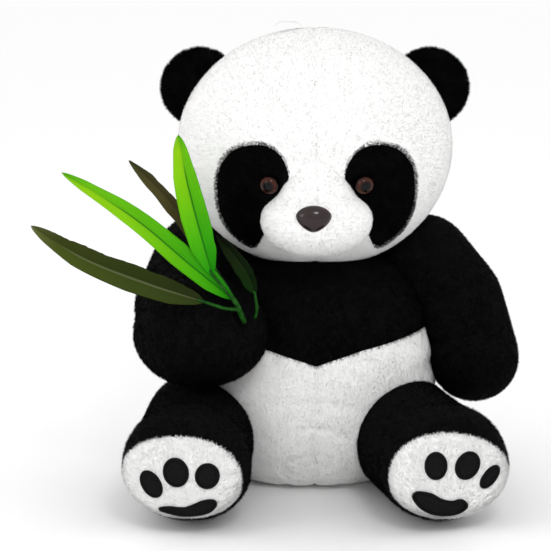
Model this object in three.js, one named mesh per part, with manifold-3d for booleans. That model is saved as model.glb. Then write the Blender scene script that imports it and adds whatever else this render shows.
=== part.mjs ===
// A seated plush panda that holds a sprig of bamboo.
// Millimetres, +Z up. The origin is the middle of the flat seat, the panda faces -Y,
// and left and right are the panda's own, so its left side is at +X.

import * as THREE from 'three';
import { mergeVertices } from 'three/addons/utils/BufferGeometryUtils.js';
import Module from 'manifold-3d';

const wasm = await Module();
wasm.setup();

// ---------------------------------------------------------------- driving dimensions

const seamGap = 0.4; // between two sewn panels, and between a skin and its stuffing
const jointGap = 1.4; // between two bodies that turn against each other
const hipGap = 2.5; // round the legs, where they slide past the torso
const armGap = 2.4;
const headGap = 4.5; // between the head's underside and the shoulders that it turns over
const plushWall = 3; // backing and pile together
const earWall = 2.5;

const torsoHeight = 205;
const torsoHalfWidth = 108;
const torsoHalfDepth = 88;
const seatInset = 58; // from the torso's widest to the flat seat's edge
const seatRadius = torsoHalfWidth - seatInset;
const seatPanelHeight = 10;
const yokeDipHeight = 119; // lowest point of the black yoke, on the belly seam
const yokeShoulderHeight = 131; // where the yoke's edge bends
const yokeSideHeight = 143; // where the yoke meets the side seam
const yokeRunOut = 7; // how much higher its edge runs on beyond the torso
const yokeBendHalfWidth = 39;

const neckBallRadius = 45;
const neckHeight = 205;
const headTurn = 20; // degrees that the head can turn each way

const headCentre = new THREE.Vector3(0, -10, 297);
const headHalfWidth = 119.5;
const headHalfDepth = 98;
const headHalfHeight = 102;
const headBackSeam = 22; // how far behind the ears' line the back panel starts

const eyeSpacing = 78;
const eyeAboveCentre = -20; // height of the eyes from the head's middle
const patchOffset = 52; // middle of an eye patch
const patchDrop = 29; // below the head's middle
const eyeDiameter = 16;
const eyeBulge = 5.5;
const shankDiameter = 5; // posts of the eyes and the nose
const washerDiameter = 15;
const washerThickness = 1.6;
const shankPastWasher = 4.5;
const postInCap = 3;
const eyeWasherDepth = 7.5; // behind the plush's face, clear of the facets inside
const noseWasherDepth = 12;

const muzzleHalfWidth = 47;
const muzzleHalfHeight = 31;
const muzzleHalfDepth = 40;
const muzzleDrop = 50; // below the head's middle
const muzzleForward = 84; // in front of the head's middle
const bridgeHalfWidth = 25;
const bridgeHalfHeight = 36;
const bridgeHalfDepth = 26;
const bridgeDrop = 28;
const noseWidth = 29;
const noseHeight = 22;
const noseDepth = 9;
const noseDrop = 43;
const noseBevel = 3;
const noseRounding = 2;

const earRadius = 37;
const earHalfThickness = 13;
const earAngle = 27; // above the horizontal, seen from the front
const earSetBack = 14; // behind the head's middle
const earFold = 25; // degrees that the ear can fold each way

const loopWidth = 22;
const loopDepth = 9;
const loopHeight = 3;
const loopRibbon = 0.8;
const loopOffset = -23;

const shoulderInset = 11; // from the torso's widest to the middle of a shoulder
const shoulderOffset = torsoHalfWidth - shoulderInset;
const shoulderSetBack = 12;
const shoulderHeight = 187;
const shoulderRadius = 44;
const elbowRadius = 43;
const leftHandRadius = 39;
const wristRadius = 39;

// The toy sits a little askew, so the two legs don't mirror each other.
const leftHipInset = 35; // from the torso's widest to the middle of the hip
const rightHipInset = 9;
const leftHipOffset = torsoHalfWidth - leftHipInset;
const rightHipOffset = torsoHalfWidth - rightHipInset;
const hipForward = 28;
const hipRadius = 49;
const legClearance = 1; // between the hips and the floor
const legLength = 134; // hip joint to the middle of the foot
const leftLegSplay = 13; // degrees outward from straight ahead
const rightLegSplay = 3.5;
const footRadius = 52;
const soleAdvance = 14; // sole in front of the foot's middle
const soleFacing = 8; // degrees that the sole still looks outward
const soleThickness = 3;
const soleHalfWidth = 46.5;
const soleHalfHeight = 36.5;
const splayIn = 8;
const splayOut = 20;

// Both arms hang clear of the legs.
const legTop = Math.max(2 * footRadius, 2 * hipRadius + legClearance);
const elbowOverLeg = 52;
const pawOverLeg = 1;
const handBesideLeg = 21;
const handOverLeg = 14;
const rightPawRadii = new THREE.Vector3(56, 45, 45);
const leftElbow = new THREE.Vector3(shoulderOffset + 28, -2, legTop + elbowOverLeg);
const leftHand = new THREE.Vector3(
  leftHipOffset + hipRadius + handBesideLeg, -14, 2 * hipRadius + handOverLeg);
const rightElbow = new THREE.Vector3(-shoulderOffset - 16, -24, legTop + elbowOverLeg);
const rightPaw = new THREE.Vector3(-shoulderOffset + 1, -86, legTop + pawOverLeg + rightPawRadii.z);

const padThickness = 2;
const toePad = { width: 17.5, height: 20.5 };
const toeSpacing = 23;
const middleToeLift = 6;
const heelPad = { width: 44, height: 14 };
const heelPadDrop = 24;

const tailRadii = new THREE.Vector3(20, 20, 19);
const tailHeight = 42;

const stemDiameter = 4.5;
const stemBase = new THREE.Vector3(38, -8, -2).add(rightPaw); // bottom, inside the paw
const stemTop = new THREE.Vector3(32, -32, 26).add(rightPaw);
const sprigSway = 6; // degrees each way
const slotDepth = 60; // from the stem's bottom out past the paw
const leafThickness = 1;
const petioleWidth = 3.2;
const twigGap = 1.8; // between a twig's end and its leaf

// ---------------------------------------------------------------- materials

function material(colour, roughness, metalness = 0) {
  return new THREE.MeshStandardMaterial({ color: colour, roughness, metalness });
}

const colours = {
  white: 0xf4f2ee,
  black: 0x131214,
  fill: 0xe9e6df,
  ribbon: 0xf2f0ec,
  felt: 0x1d1c1e,
  amber: 0x5a2a10,
  nose: 0x2c1712,
  plastic: 0xd8d8d4,
  stem: 0x4d5b24,
  brightLeaf: 0x4fa31c,
  oliveLeaf: 0x4a5023,
};

// ---------------------------------------------------------------- solids

/** A closed geometry as a solid, after an optional placement. */
function solid(geometry, matrix = new THREE.Matrix4()) {
  const bare = geometry.index ? geometry.toNonIndexed() : geometry.clone();
  bare.deleteAttribute('normal');
  bare.deleteAttribute('uv');
  bare.applyMatrix4(matrix);
  const merged = mergeVertices(bare, 1e-4);
  const triVerts = [];
  for (let i = 0; i < merged.index.count; i += 3) {
    const [a, b, c] = [0, 1, 2].map((k) => merged.index.getX(i + k));
    if (a !== b && b !== c && c !== a) triVerts.push(a, b, c);
  }
  return new wasm.Manifold(new wasm.Mesh({
    numProp: 3,
    vertProperties: new Float32Array(merged.attributes.position.array),
    triVerts: new Uint32Array(triVerts),
  }));
}

function geometryOf(shape) {
  const { vertProperties, triVerts, numProp } = shape.getMesh();
  const geometry = new THREE.BufferGeometry();
  const positions = new Float32Array((vertProperties.length / numProp) * 3);
  for (let i = 0; i < positions.length / 3; i++) {
    for (let k = 0; k < 3; k++) positions[3 * i + k] = vertProperties[numProp * i + k];
  }
  geometry.setAttribute('position', new THREE.BufferAttribute(positions, 3));
  geometry.setIndex(Array.from(triVerts));
  geometry.computeVertexNormals();
  return geometry;
}

/** Hidden surfaces, inside a skin, take fewer facets than the outer ones. */
function facets(inset, outside) {
  return inset > 0 ? Math.round(0.32 * outside) * 2 : outside;
}

function join(shapes) {
  return shapes.reduce((all, next) => all.add(next));
}

function ellipsoid(centre, radii, around = 18, down = 10) {
  const matrix = new THREE.Matrix4().compose(centre, new THREE.Quaternion(), radii);
  return solid(new THREE.SphereGeometry(1, around, down).rotateX(Math.PI / 2), matrix);
}

function sphere(centre, radius, around = 18, down = 10) {
  return ellipsoid(centre, new THREE.Vector3(radius, radius, radius), around, down);
}

/** A box between two corners. */
function block(low, high) {
  const size = new THREE.Vector3().subVectors(high, low);
  const middle = new THREE.Vector3().addVectors(low, high).multiplyScalar(0.5);
  const matrix = new THREE.Matrix4().makeTranslation(middle.x, middle.y, middle.z);
  return solid(new THREE.BoxGeometry(size.x, size.y, size.z), matrix);
}

const far = 400;

/** Everything between two X values, two Y values and two Z values; far where one is not given. */
function slab({ x = [-far, far], y = [-far, far], z = [-far, 2 * far] }) {
  return block(new THREE.Vector3(x[0], y[0], z[0]), new THREE.Vector3(x[1], y[1], z[1]));
}

/** A capsule between two points whose radius changes from one to the other. */
function capsule(from, fromRadius, to, toRadius, around = 14) {
  const along = new THREE.Vector3().subVectors(to, from);
  const length = along.length();
  const tangent = Math.asin((fromRadius - toRadius) / length);
  const steps = 3;
  const profile = [];
  for (let i = 0; i <= steps; i++) {
    const turn = -Math.PI / 2 + (tangent + Math.PI / 2) * (i / steps);
    profile.push(new THREE.Vector2(fromRadius * Math.cos(turn), fromRadius * Math.sin(turn)));
  }
  for (let i = 0; i <= steps; i++) {
    const turn = tangent + (Math.PI / 2 - tangent) * (i / steps);
    profile.push(new THREE.Vector2(toRadius * Math.cos(turn), length + toRadius * Math.sin(turn)));
  }
  profile[0].x = 0;
  profile[profile.length - 1].x = 0;
  const turned = new THREE.Quaternion().setFromUnitVectors(
    new THREE.Vector3(0, 1, 0), along.normalize());
  const matrix = new THREE.Matrix4().compose(from, turned, new THREE.Vector3(1, 1, 1));
  return solid(new THREE.LatheGeometry(profile, around), matrix);
}

/** A straight round rod between two points. */
function rod(from, to, diameter, sides = 8) {
  const along = new THREE.Vector3().subVectors(to, from);
  const middle = new THREE.Vector3().addVectors(from, to).multiplyScalar(0.5);
  const length = along.length();
  const turned = new THREE.Quaternion().setFromUnitVectors(
    new THREE.Vector3(0, 1, 0), along.normalize());
  const matrix = new THREE.Matrix4().compose(middle, turned, new THREE.Vector3(1, 1, 1));
  return solid(new THREE.CylinderGeometry(diameter / 2, diameter / 2, length, sides), matrix);
}

/** A flat outline in X and Z, given height along Y from near to far. */
function plate(shape, nearY, farY, curveSteps = 6) {
  const geometry = new THREE.ExtrudeGeometry(shape,
    { depth: farY - nearY, bevelEnabled: false, curveSegments: curveSteps });
  geometry.rotateX(Math.PI / 2);
  return solid(geometry, new THREE.Matrix4().makeTranslation(0, farY, 0));
}

/** A solid turned about an axis through a point. */
function turned(shape, pivot, axis, degrees) {
  const matrix = new THREE.Matrix4().makeTranslation(pivot.x, pivot.y, pivot.z);
  matrix.multiply(new THREE.Matrix4().makeRotationAxis(axis, THREE.MathUtils.degToRad(degrees)));
  matrix.multiply(new THREE.Matrix4().makeTranslation(-pivot.x, -pivot.y, -pivot.z));
  return shape.transform(matrix.elements);
}

/** The room a solid needs as it turns through some angles. */
function swept(shape, pivot, axis, angles) {
  return join(angles.map((degrees) => turned(shape, pivot, axis, degrees)));
}

const axisX = new THREE.Vector3(1, 0, 0);
const axisY = new THREE.Vector3(0, 1, 0);
const axisZ = new THREE.Vector3(0, 0, 1);

// ---------------------------------------------------------------- whole forms, before any cut

/** The torso's outer form, or a smaller one inside it. */
function torsoForm(inset = 0) {
  const r = torsoHalfWidth;
  const h = torsoHeight;
  const outline = new THREE.SplineCurve([
    new THREE.Vector2(seatRadius, 0),
    new THREE.Vector2(0.78 * r, 0.07 * h),
    new THREE.Vector2(0.95 * r, 0.26 * h),
    new THREE.Vector2(r, 0.52 * h),
    new THREE.Vector2(0.95 * r, 0.7 * h),
    new THREE.Vector2(0.76 * r, 0.85 * h),
    new THREE.Vector2(0.46 * r, 0.94 * h),
    new THREE.Vector2(0, h),
  ]);
  const squeeze = (h - 2 * inset) / h;
  const profile = [new THREE.Vector2(0, inset)];
  for (const point of outline.getPoints(inset > 0 ? 8 : 10)) {
    profile.push(new THREE.Vector2(Math.max(point.x - inset, 0), inset + point.y * squeeze));
  }
  profile[profile.length - 1].x = 0;
  const depthShare = (torsoHalfDepth - inset) / (torsoHalfWidth - inset);
  const matrix = new THREE.Matrix4().makeScale(1, depthShare, 1);
  return solid(new THREE.LatheGeometry(profile, facets(inset, 24)).rotateX(Math.PI / 2), matrix);
}

function headForm(inset = 0) {
  return ellipsoid(headCentre, new THREE.Vector3(
    headHalfWidth - inset, headHalfDepth - inset, headHalfHeight - inset),
  facets(inset, 24), facets(inset, 14));
}

/** Where the head's outer form lies in front of a point given in X and Z. */
function headFrontY(x, z) {
  const across = (x - headCentre.x) / headHalfWidth;
  const up = (z - headCentre.z) / headHalfHeight;
  return headCentre.y - headHalfDepth * Math.sqrt(1 - across * across - up * up);
}

function muzzleForm(inset = 0) {
  const cheeks = ellipsoid(
    new THREE.Vector3(headCentre.x, headCentre.y - muzzleForward, headCentre.z - muzzleDrop),
    new THREE.Vector3(muzzleHalfWidth - inset, muzzleHalfDepth - inset, muzzleHalfHeight - inset),
    facets(inset, 16), facets(inset, 10));
  const bridge = ellipsoid(
    new THREE.Vector3(headCentre.x, headCentre.y - muzzleForward, headCentre.z - bridgeDrop),
    new THREE.Vector3(bridgeHalfWidth - inset, bridgeHalfDepth - inset, bridgeHalfHeight - inset),
    facets(inset, 12), facets(inset, 8));
  return cheeks.add(bridge);
}

const shoulders = {
  left: new THREE.Vector3(shoulderOffset, shoulderSetBack, shoulderHeight),
  right: new THREE.Vector3(-shoulderOffset, shoulderSetBack, shoulderHeight),
};

const armForms = {
  left: (inset = 0, around = facets(inset, 16)) => join([
    capsule(shoulders.left, shoulderRadius - inset, leftElbow, elbowRadius - inset, around),
    capsule(leftElbow, elbowRadius - inset, leftHand, leftHandRadius - inset, around),
  ]),
  right: (inset = 0, around = facets(inset, 16)) => join([
    capsule(shoulders.right, shoulderRadius - inset, rightElbow, elbowRadius - inset, around),
    capsule(rightElbow, elbowRadius - inset, rightPaw, wristRadius - inset, around),
    ellipsoid(rightPaw, rightPawRadii.clone().subScalar(inset), around, facets(inset, 10)),
  ]),
};

const hips = {
  left: new THREE.Vector3(leftHipOffset, -hipForward, hipRadius + legClearance),
  right: new THREE.Vector3(-rightHipOffset, -hipForward, hipRadius + legClearance),
};
const legSplays = { left: leftLegSplay, right: rightLegSplay };

function sideSign(side) {
  return side === 'left' ? 1 : -1;
}

function footCentre(side) {
  const splay = THREE.MathUtils.degToRad(legSplays[side]);
  return new THREE.Vector3(
    hips[side].x + sideSign(side) * legLength * Math.sin(splay),
    hips[side].y - legLength * Math.cos(splay),
    footRadius);
}

/** The place of a foot's sole: its own X to the side, Y inward along the foot and Z up. */
function solePlace(side) {
  const angle = sideSign(side) * THREE.MathUtils.degToRad(soleFacing);
  const centre = footCentre(side);
  const outward = new THREE.Vector3(Math.sin(angle), -Math.cos(angle), 0);
  centre.addScaledVector(outward, soleAdvance);
  return new THREE.Matrix4().makeRotationZ(angle).setPosition(centre);
}

/** A leg, cut off flat at its sole's back. */
function legForm(side, inset = 0, around = facets(inset, 18)) {
  const whole = capsule(hips[side], hipRadius - inset, footCentre(side), footRadius - inset,
    around);
  const beyond = new THREE.Matrix4().multiplyMatrices(
    solePlace(side), new THREE.Matrix4().makeTranslation(0, inset - far / 2, 0));
  return whole.subtract(solid(new THREE.BoxGeometry(far, far, far), beyond));
}

const neck = new THREE.Vector3(0, 0, neckHeight);
const neckBall = sphere(neck, neckBallRadius);
const neckRoom = sphere(neck, neckBallRadius + jointGap);

// ---------------------------------------------------------------- room for what turns

/**
 * The room that the neck and the limbs need. The arms only swing away from the torso, so theirs
 * is the arms as they hang; the legs' covers their splay. The margin widens it all.
 */
function limbRooms(margin, around) {
  const gap = -armGap - margin;
  const splay = (side, angles) =>
    swept(legForm(side, -hipGap - margin, around), hips[side], axisZ, angles);
  return {
    arms: armForms.left(gap, around).add(armForms.right(gap, around)),
    legs: splay('left', [-splayIn, splayOut]).add(splay('right', [-splayOut, splayIn])),
  };
}
const skinRooms = limbRooms(0, 16);
const fillRooms = limbRooms(2, 10);
const skinCuts = join([neckRoom, skinRooms.arms, skinRooms.legs]);
const fillCuts = join([neckRoom, fillRooms.arms, fillRooms.legs]);

/** The hollows under the cheeks, over which the head turns past the shoulders. */
function shoulderHollows() {
  const steps = [-1, -0.5, 0, 0.5, 1];
  const balls = [shoulders.left, shoulders.right].map((centre) =>
    sphere(centre, shoulderRadius + headGap, 14, 8));
  return join(balls.flatMap((ball) =>
    steps.map((step) => turned(ball, neck, axisZ, step * headTurn))));
}
const headCuts = neckRoom.add(shoulderHollows());

// ---------------------------------------------------------------- assembly

const panda = new THREE.Group();

function addSolid(parent, name, shape, look) {
  const mesh = new THREE.Mesh(geometryOf(shape), look);
  mesh.name = name;
  parent.add(mesh);
  return mesh;
}

function plush(colour) {
  return material(colours[colour], 0.95);
}

/** The torso's black yoke, white belly and back, seat and stuffing. */
function addTorso(parent) {
  const half = seamGap / 2;
  const skin = torsoForm().subtract(torsoForm(plushWall)).subtract(skinCuts);
  const edge = [
    [-far, yokeSideHeight + yokeRunOut], [-torsoHalfWidth, yokeSideHeight],
    [-yokeBendHalfWidth, yokeShoulderHeight], [0, yokeDipHeight],
    [yokeBendHalfWidth, yokeShoulderHeight], [torsoHalfWidth, yokeSideHeight],
    [far, yokeSideHeight + yokeRunOut],
  ];
  const below = (shift) => {
    const points = edge.map(([x, z]) => new THREE.Vector2(x, z + shift));
    points.push(new THREE.Vector2(far, -far), new THREE.Vector2(-far, -far));
    return plate(new THREE.Shape(points), -far, far);
  };
  const front = slab({ y: [-far, -half] });
  const back = slab({ y: [half, far] });
  const upper = skin.subtract(below(half));
  const lower = skin.intersect(below(-half)).subtract(slab({ z: [-far, seatPanelHeight + half] }));
  addSolid(parent, 'chest_panel', upper.intersect(front), plush('black'));
  addSolid(parent, 'upper_back_panel', upper.intersect(back), plush('black'));
  addSolid(parent, 'belly_panel_left',
    lower.intersect(front).intersect(slab({ x: [half, far] })), plush('white'));
  addSolid(parent, 'belly_panel_right',
    lower.intersect(front).intersect(slab({ x: [-far, -half] })), plush('white'));
  addSolid(parent, 'lower_back_panel', lower.intersect(back), plush('white'));
  addSolid(parent, 'seat_panel',
    skin.intersect(slab({ z: [-far, seatPanelHeight - half] })), plush('white'));
  addSolid(parent, 'torso_stuffing',
    torsoForm(plushWall + seamGap).subtract(fillCuts), plush('fill'));
}

function addTail(parent) {
  const centre = new THREE.Vector3(0, torsoHalfDepth + 2, tailHeight);
  const room = torsoForm(-seamGap);
  const outer = ellipsoid(centre, tailRadii, 14, 8);
  const inner = ellipsoid(centre, tailRadii.clone().subScalar(plushWall), 10, 6);
  const fill = ellipsoid(centre, tailRadii.clone().subScalar(plushWall + seamGap), 10, 6);
  addSolid(parent, 'tail_skin', outer.subtract(inner).subtract(room), plush('white'));
  addSolid(parent, 'tail_stuffing', fill.subtract(room), plush('fill'));
}

/** The outline of an eye patch on the side given by sign, grown by a margin. */
function patchOutline(sign, margin = 0) {
  const middle = new THREE.Vector2(sign * patchOffset, headCentre.z - patchDrop);
  const edge = [
    [22, 16], [29, 29], [38, 45], [54, 45], [72, 37], [82, 16],
    [84, -6], [79, -27], [66, -45], [50, -53], [37, -44], [29, -22],
  ];
  const points = edge.map(([x, z]) => {
    const point = new THREE.Vector2(sign * x, headCentre.z - patchDrop + z);
    const outward = point.clone().sub(middle).normalize();
    return point.addScaledVector(outward, margin);
  });
  if (sign < 0) points.reverse();
  return new THREE.Shape(new THREE.SplineCurve([...points, points[0]]).getPoints(24).slice(0, -1));
}

/** A safety eye or nose's post, and the room that it and its washer need. */
function addFastened(parent, name, top, forward, cap, capLook, washerDepth = eyeWasherDepth) {
  const inward = forward.clone().negate();
  const shankLength = washerDepth + shankPastWasher;
  const post = rod(top.clone().addScaledVector(forward, postInCap),
    top.clone().addScaledVector(inward, shankLength), shankDiameter);
  addSolid(parent, name, cap.add(post), capLook);
  const washerTop = top.clone().addScaledVector(inward, washerDepth);
  const washerEnd = washerTop.clone().addScaledVector(inward, washerThickness);
  const hole = rod(top.clone().addScaledVector(forward, 20),
    top.clone().addScaledVector(inward, shankLength + 5), shankDiameter + 2 * seamGap);
  const washer = rod(washerTop, washerEnd, washerDiameter, 12).subtract(hole);
  addSolid(parent, `${name}_washer`, washer, material(colours.plastic, 0.5));
  const pocket = rod(top,
    top.clone().addScaledVector(inward, shankLength + 1), washerDiameter + 2 * seamGap, 12);
  return { hole, pocket };
}

/** The safety eyes: a domed cap on a post, with a washer behind the plush. */
function addEyes(parent) {
  return [1, -1].map((sign) => {
    const x = sign * eyeSpacing / 2;
    const z = headCentre.z + eyeAboveCentre;
    const top = new THREE.Vector3(x, headFrontY(x, z), z);
    const forward = new THREE.Vector3(
      (x - headCentre.x) / headHalfWidth ** 2,
      (top.y - headCentre.y) / headHalfDepth ** 2,
      (z - headCentre.z) / headHalfHeight ** 2).normalize();
    const seat = top.clone().addScaledVector(forward, 1);
    const rim = eyeDiameter / 2;
    const dome = new THREE.LatheGeometry([
      new THREE.Vector2(0, 0),
      ...Array.from({ length: 4 }, (_, i) => {
        const turn = (Math.PI / 2) * (i / 4);
        return new THREE.Vector2(rim * Math.cos(turn), 0.6 + eyeBulge * Math.sin(turn));
      }),
      new THREE.Vector2(0, 0.6 + eyeBulge),
    ], 14);
    const upright = new THREE.Quaternion().setFromUnitVectors(axisY, forward);
    const cap = solid(dome,
      new THREE.Matrix4().compose(seat, upright, new THREE.Vector3(1, 1, 1)));
    const name = sign > 0 ? 'eye_left' : 'eye_right';
    return addFastened(parent, name, top, forward, cap, material(colours.amber, 0.08));
  });
}

/** The nose: a rounded triangle, wide at the top, on a post with a washer. */
function addNose(parent) {
  const z = headCentre.z - noseDrop;
  const top = new THREE.Vector3(0, headCentre.y - muzzleForward - muzzleHalfDepth, z);
  const w = noseWidth / 2 - noseRounding;
  const h = noseHeight / 2 - noseRounding;
  const outline = new THREE.SplineCurve([
    [-w, 0.35 * h], [-0.7 * w, 0.92 * h], [0, h], [0.7 * w, 0.92 * h], [w, 0.35 * h],
    [0.55 * w, -0.55 * h], [0, -h], [-0.55 * w, -0.55 * h], [-w, 0.35 * h],
  ].map(([x, y]) => new THREE.Vector2(x, y)));
  const geometry = new THREE.ExtrudeGeometry(
    new THREE.Shape(outline.getPoints(16).slice(0, -1).reverse()),
    { depth: noseDepth - 2 * noseBevel, bevelEnabled: true, bevelSize: noseRounding,
      bevelThickness: noseBevel, bevelSegments: 2 });
  geometry.rotateX(Math.PI / 2);
  const seat = new THREE.Matrix4().makeTranslation(top.x, top.y - noseBevel, top.z);
  const cap = solid(geometry, seat);
  const forward = new THREE.Vector3(0, -1, 0);
  return addFastened(parent, 'nose', top, forward, cap, material(colours.nose, 0.1),
    noseWasherDepth);
}

/** The head's sewn panels, eye patches, muzzle, safety eyes, nose, hang loop and stuffing. */
function addHead(parent) {
  const half = seamGap / 2;
  const eyes = addEyes(parent);
  const nose = addNose(parent);
  const holes = join([...eyes, nose].map((each) => each.hole));
  const pockets = join([...eyes, nose].map((each) => each.pocket));
  const face = slab({ y: [-far, headCentre.y - seamGap] });
  const muzzleInside = muzzleForm(plushWall);
  const skin = headForm().subtract(headForm(plushWall)).subtract(headCuts).subtract(holes)
    .subtract(muzzleInside);
  const patches = [1, -1].map((sign) => plate(patchOutline(sign), -far, headCentre.y));
  const patchRooms = [1, -1].map((sign) =>
    plate(patchOutline(sign, seamGap), -far, headCentre.y));
  const backStart = headCentre.y + headBackSeam;
  const white = skin.subtract(join(patchRooms));
  const front = white.intersect(slab({ y: [-far, backStart - half] }));
  addSolid(parent, 'head_panel_left', front.intersect(slab({ x: [half, far] })), plush('white'));
  addSolid(parent, 'head_panel_right', front.intersect(slab({ x: [-far, -half] })),
    plush('white'));
  addSolid(parent, 'head_back_panel', white.intersect(slab({ y: [backStart + half, far] })),
    plush('white'));
  const names = ['eye_patch_left', 'eye_patch_right'];
  names.forEach((name, i) => addSolid(parent, name,
    skin.intersect(patches[i]).intersect(face), plush('black')));
  const outside = headForm(-seamGap);
  addSolid(parent, 'muzzle_skin',
    muzzleForm().subtract(muzzleInside).subtract(outside).subtract(holes), plush('white'));
  const fillForm = headForm(plushWall + seamGap);
  addSolid(parent, 'muzzle_stuffing',
    muzzleForm(plushWall + seamGap).subtract(headForm(plushWall)).subtract(pockets),
    plush('fill'));
  addSolid(parent, 'head_stuffing', fillForm.subtract(headCuts).subtract(pockets),
    plush('fill'));
}

/** A folded ribbon sewn to the crown. */
function addHangLoop(parent) {
  const across = loopOffset / headHalfWidth;
  const crown = headCentre.z + headHalfHeight * Math.sqrt(1 - across * across);
  const outer = new THREE.Shape([
    [-loopDepth / 2, 0], [loopDepth / 2, 0], [loopDepth / 2, loopHeight / 2],
    [loopDepth / 4, loopHeight], [-loopDepth / 4, loopHeight], [-loopDepth / 2, loopHeight / 2],
  ].map(([x, y]) => new THREE.Vector2(x, y)));
  const inner = new THREE.Path([
    [-loopDepth / 2 + loopRibbon, loopRibbon], [-loopDepth / 4, loopHeight - loopRibbon],
    [loopDepth / 4, loopHeight - loopRibbon], [loopDepth / 2 - loopRibbon, loopRibbon],
  ].map(([x, y]) => new THREE.Vector2(x, y)));
  outer.holes.push(inner);
  const geometry = new THREE.ExtrudeGeometry(outer, { depth: loopWidth, bevelEnabled: false });
  geometry.translate(0, 0, -loopWidth / 2).rotateX(Math.PI / 2).rotateZ(Math.PI / 2);
  const mesh = new THREE.Mesh(geometry, material(colours.ribbon, 0.8));
  mesh.name = 'hang_loop';
  mesh.position.set(loopOffset, headCentre.y, crown + 0.9);
  mesh.rotation.y = Math.asin(across);
  parent.add(mesh);
}

/** Two panels and a little stuffing, folding about the seam where the ear meets the head. */
function addEar(parent, side) {
  const sign = sideSign(side);
  const rise = THREE.MathUtils.degToRad(earAngle);
  const outward = new THREE.Vector3(sign * Math.cos(rise), 0, Math.sin(rise));
  const along = new THREE.Vector3(-sign * Math.sin(rise), 0, Math.cos(rise));
  const back = earSetBack / headHalfDepth;
  const reach = Math.sqrt((1 - back * back)
    / ((outward.x / headHalfWidth) ** 2 + (outward.z / headHalfHeight) ** 2));
  const base = headCentre.clone().addScaledVector(outward, reach);
  base.y += earSetBack;
  const lens = (inset) => {
    const place = new THREE.Matrix4().compose(base,
      new THREE.Quaternion().setFromAxisAngle(axisY, -sign * rise),
      new THREE.Vector3(earRadius - inset, earHalfThickness - inset, earRadius - inset));
    const ball = new THREE.SphereGeometry(1, facets(inset, 16), facets(inset, 10));
    return solid(ball.rotateX(Math.PI / 2), place);
  };
  const room = swept(headForm(-jointGap), base, along, [-earFold, 0, earFold]);
  const skin = lens(0).subtract(lens(earWall)).subtract(room);
  const half = seamGap / 2;
  addSolid(parent, `ear_front_${side}`,
    skin.intersect(slab({ y: [-far, base.y - half] })), plush('black'));
  addSolid(parent, `ear_back_${side}`,
    skin.intersect(slab({ y: [base.y + half, far] })), plush('black'));
  addSolid(parent, `ear_stuffing_${side}`,
    lens(earWall + seamGap).subtract(room), plush('fill'));
}

/** An arm's skin, open at the armhole, and its stuffing. */
function addArm(parent, side, pawRoom) {
  const form = armForms[side];
  const towardTorso = shoulders[side].clone().addScaledVector(axisX, -sideSign(side) * far / 4);
  const opening = rod(shoulders[side], towardTorso, 1.1 * shoulderRadius, 16);
  let skin = form().subtract(form(plushWall)).subtract(opening);
  let fill = form(plushWall + seamGap);
  if (pawRoom) {
    skin = skin.subtract(pawRoom);
    fill = fill.subtract(pawRoom);
  }
  addSolid(parent, `arm_skin_${side}`, skin, plush('black'));
  addSolid(parent, `arm_stuffing_${side}`, fill, plush('fill'));
}

/** A rounded outline with the given points, mirrored to the other foot by sign. */
function smoothShape(points, sign, steps) {
  const list = points.map(([x, y]) => new THREE.Vector2(sign * x, y));
  if (sign < 0) list.reverse();
  return new THREE.Shape(new THREE.SplineCurve([...list, list[0]]).getPoints(steps).slice(0, -1));
}

/** A flat felt piece on the sole: its place, its turn and its outline. */
function addPad(parent, name, shape, x, z, degrees) {
  const geometry = new THREE.ExtrudeGeometry(shape, { depth: padThickness, bevelEnabled: false });
  geometry.rotateX(Math.PI / 2);
  const mesh = new THREE.Mesh(geometry, material(colours.felt, 0.9));
  mesh.name = name;
  mesh.position.set(x, -seamGap, z);
  mesh.rotation.y = THREE.MathUtils.degToRad(-degrees);
  parent.add(mesh);
}

/** A leg's skin, its stuffing, its white sole and four felt pads. */
function addLeg(parent, side, padTurn, padShift) {
  const outer = legForm(side);
  const mouth = solid(new THREE.CylinderGeometry(1, 1, 2 * plushWall, 24),
    solePlace(side).multiply(new THREE.Matrix4().makeScale(
      soleHalfWidth + seamGap, 2, soleHalfHeight + seamGap)));
  const hollow = legForm(side, plushWall);
  addSolid(parent, `leg_skin_${side}`, outer.subtract(hollow).subtract(mouth), plush('black'));
  addSolid(parent, `leg_stuffing_${side}`, legForm(side, plushWall + seamGap), plush('fill'));

  const foot = new THREE.Group();
  solePlace(side).decompose(foot.position, foot.quaternion, foot.scale);
  parent.add(foot);
  const disc = new THREE.CylinderGeometry(1, 1, soleThickness - seamGap, 24);
  disc.scale(soleHalfWidth, 1, soleHalfHeight);
  const sole = new THREE.Mesh(disc, plush('white'));
  sole.name = `sole_${side}`;
  sole.position.y = (soleThickness - seamGap) / 2;
  foot.add(sole);

  const pads = new THREE.Group();
  pads.rotation.y = THREE.MathUtils.degToRad(-padTurn);
  pads.position.set(padShift.x, 0, padShift.z);
  foot.add(pads);
  const toe = new THREE.Shape();
  toe.absellipse(0, 0, toePad.width / 2, toePad.height / 2, 0, 2 * Math.PI);
  [-1, 0, 1].forEach((place, i) => {
    const lift = place === 0 ? middleToeLift : 0;
    addPad(pads, `toe_pad_${side}_${i + 1}`, toe, place * toeSpacing, lift, -12 * place);
  });
  const w = heelPad.width / 2;
  const h = heelPad.height / 2;
  const heel = smoothShape([
    [-w, 0.3 * h], [-0.8 * w, h], [-0.3 * w, 0.35 * h], [0.3 * w, 0.35 * h], [0.8 * w, h],
    [w, 0.3 * h], [0.6 * w, -0.7 * h], [0, -h], [-0.6 * w, -0.7 * h],
  ], 1, 30);
  heel.closePath();
  const heelShape = new THREE.Shape(heel.getPoints().reverse());
  addPad(pads, `heel_pad_${side}`, heelShape, 0, -heelPadDrop, 0);
}

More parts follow.
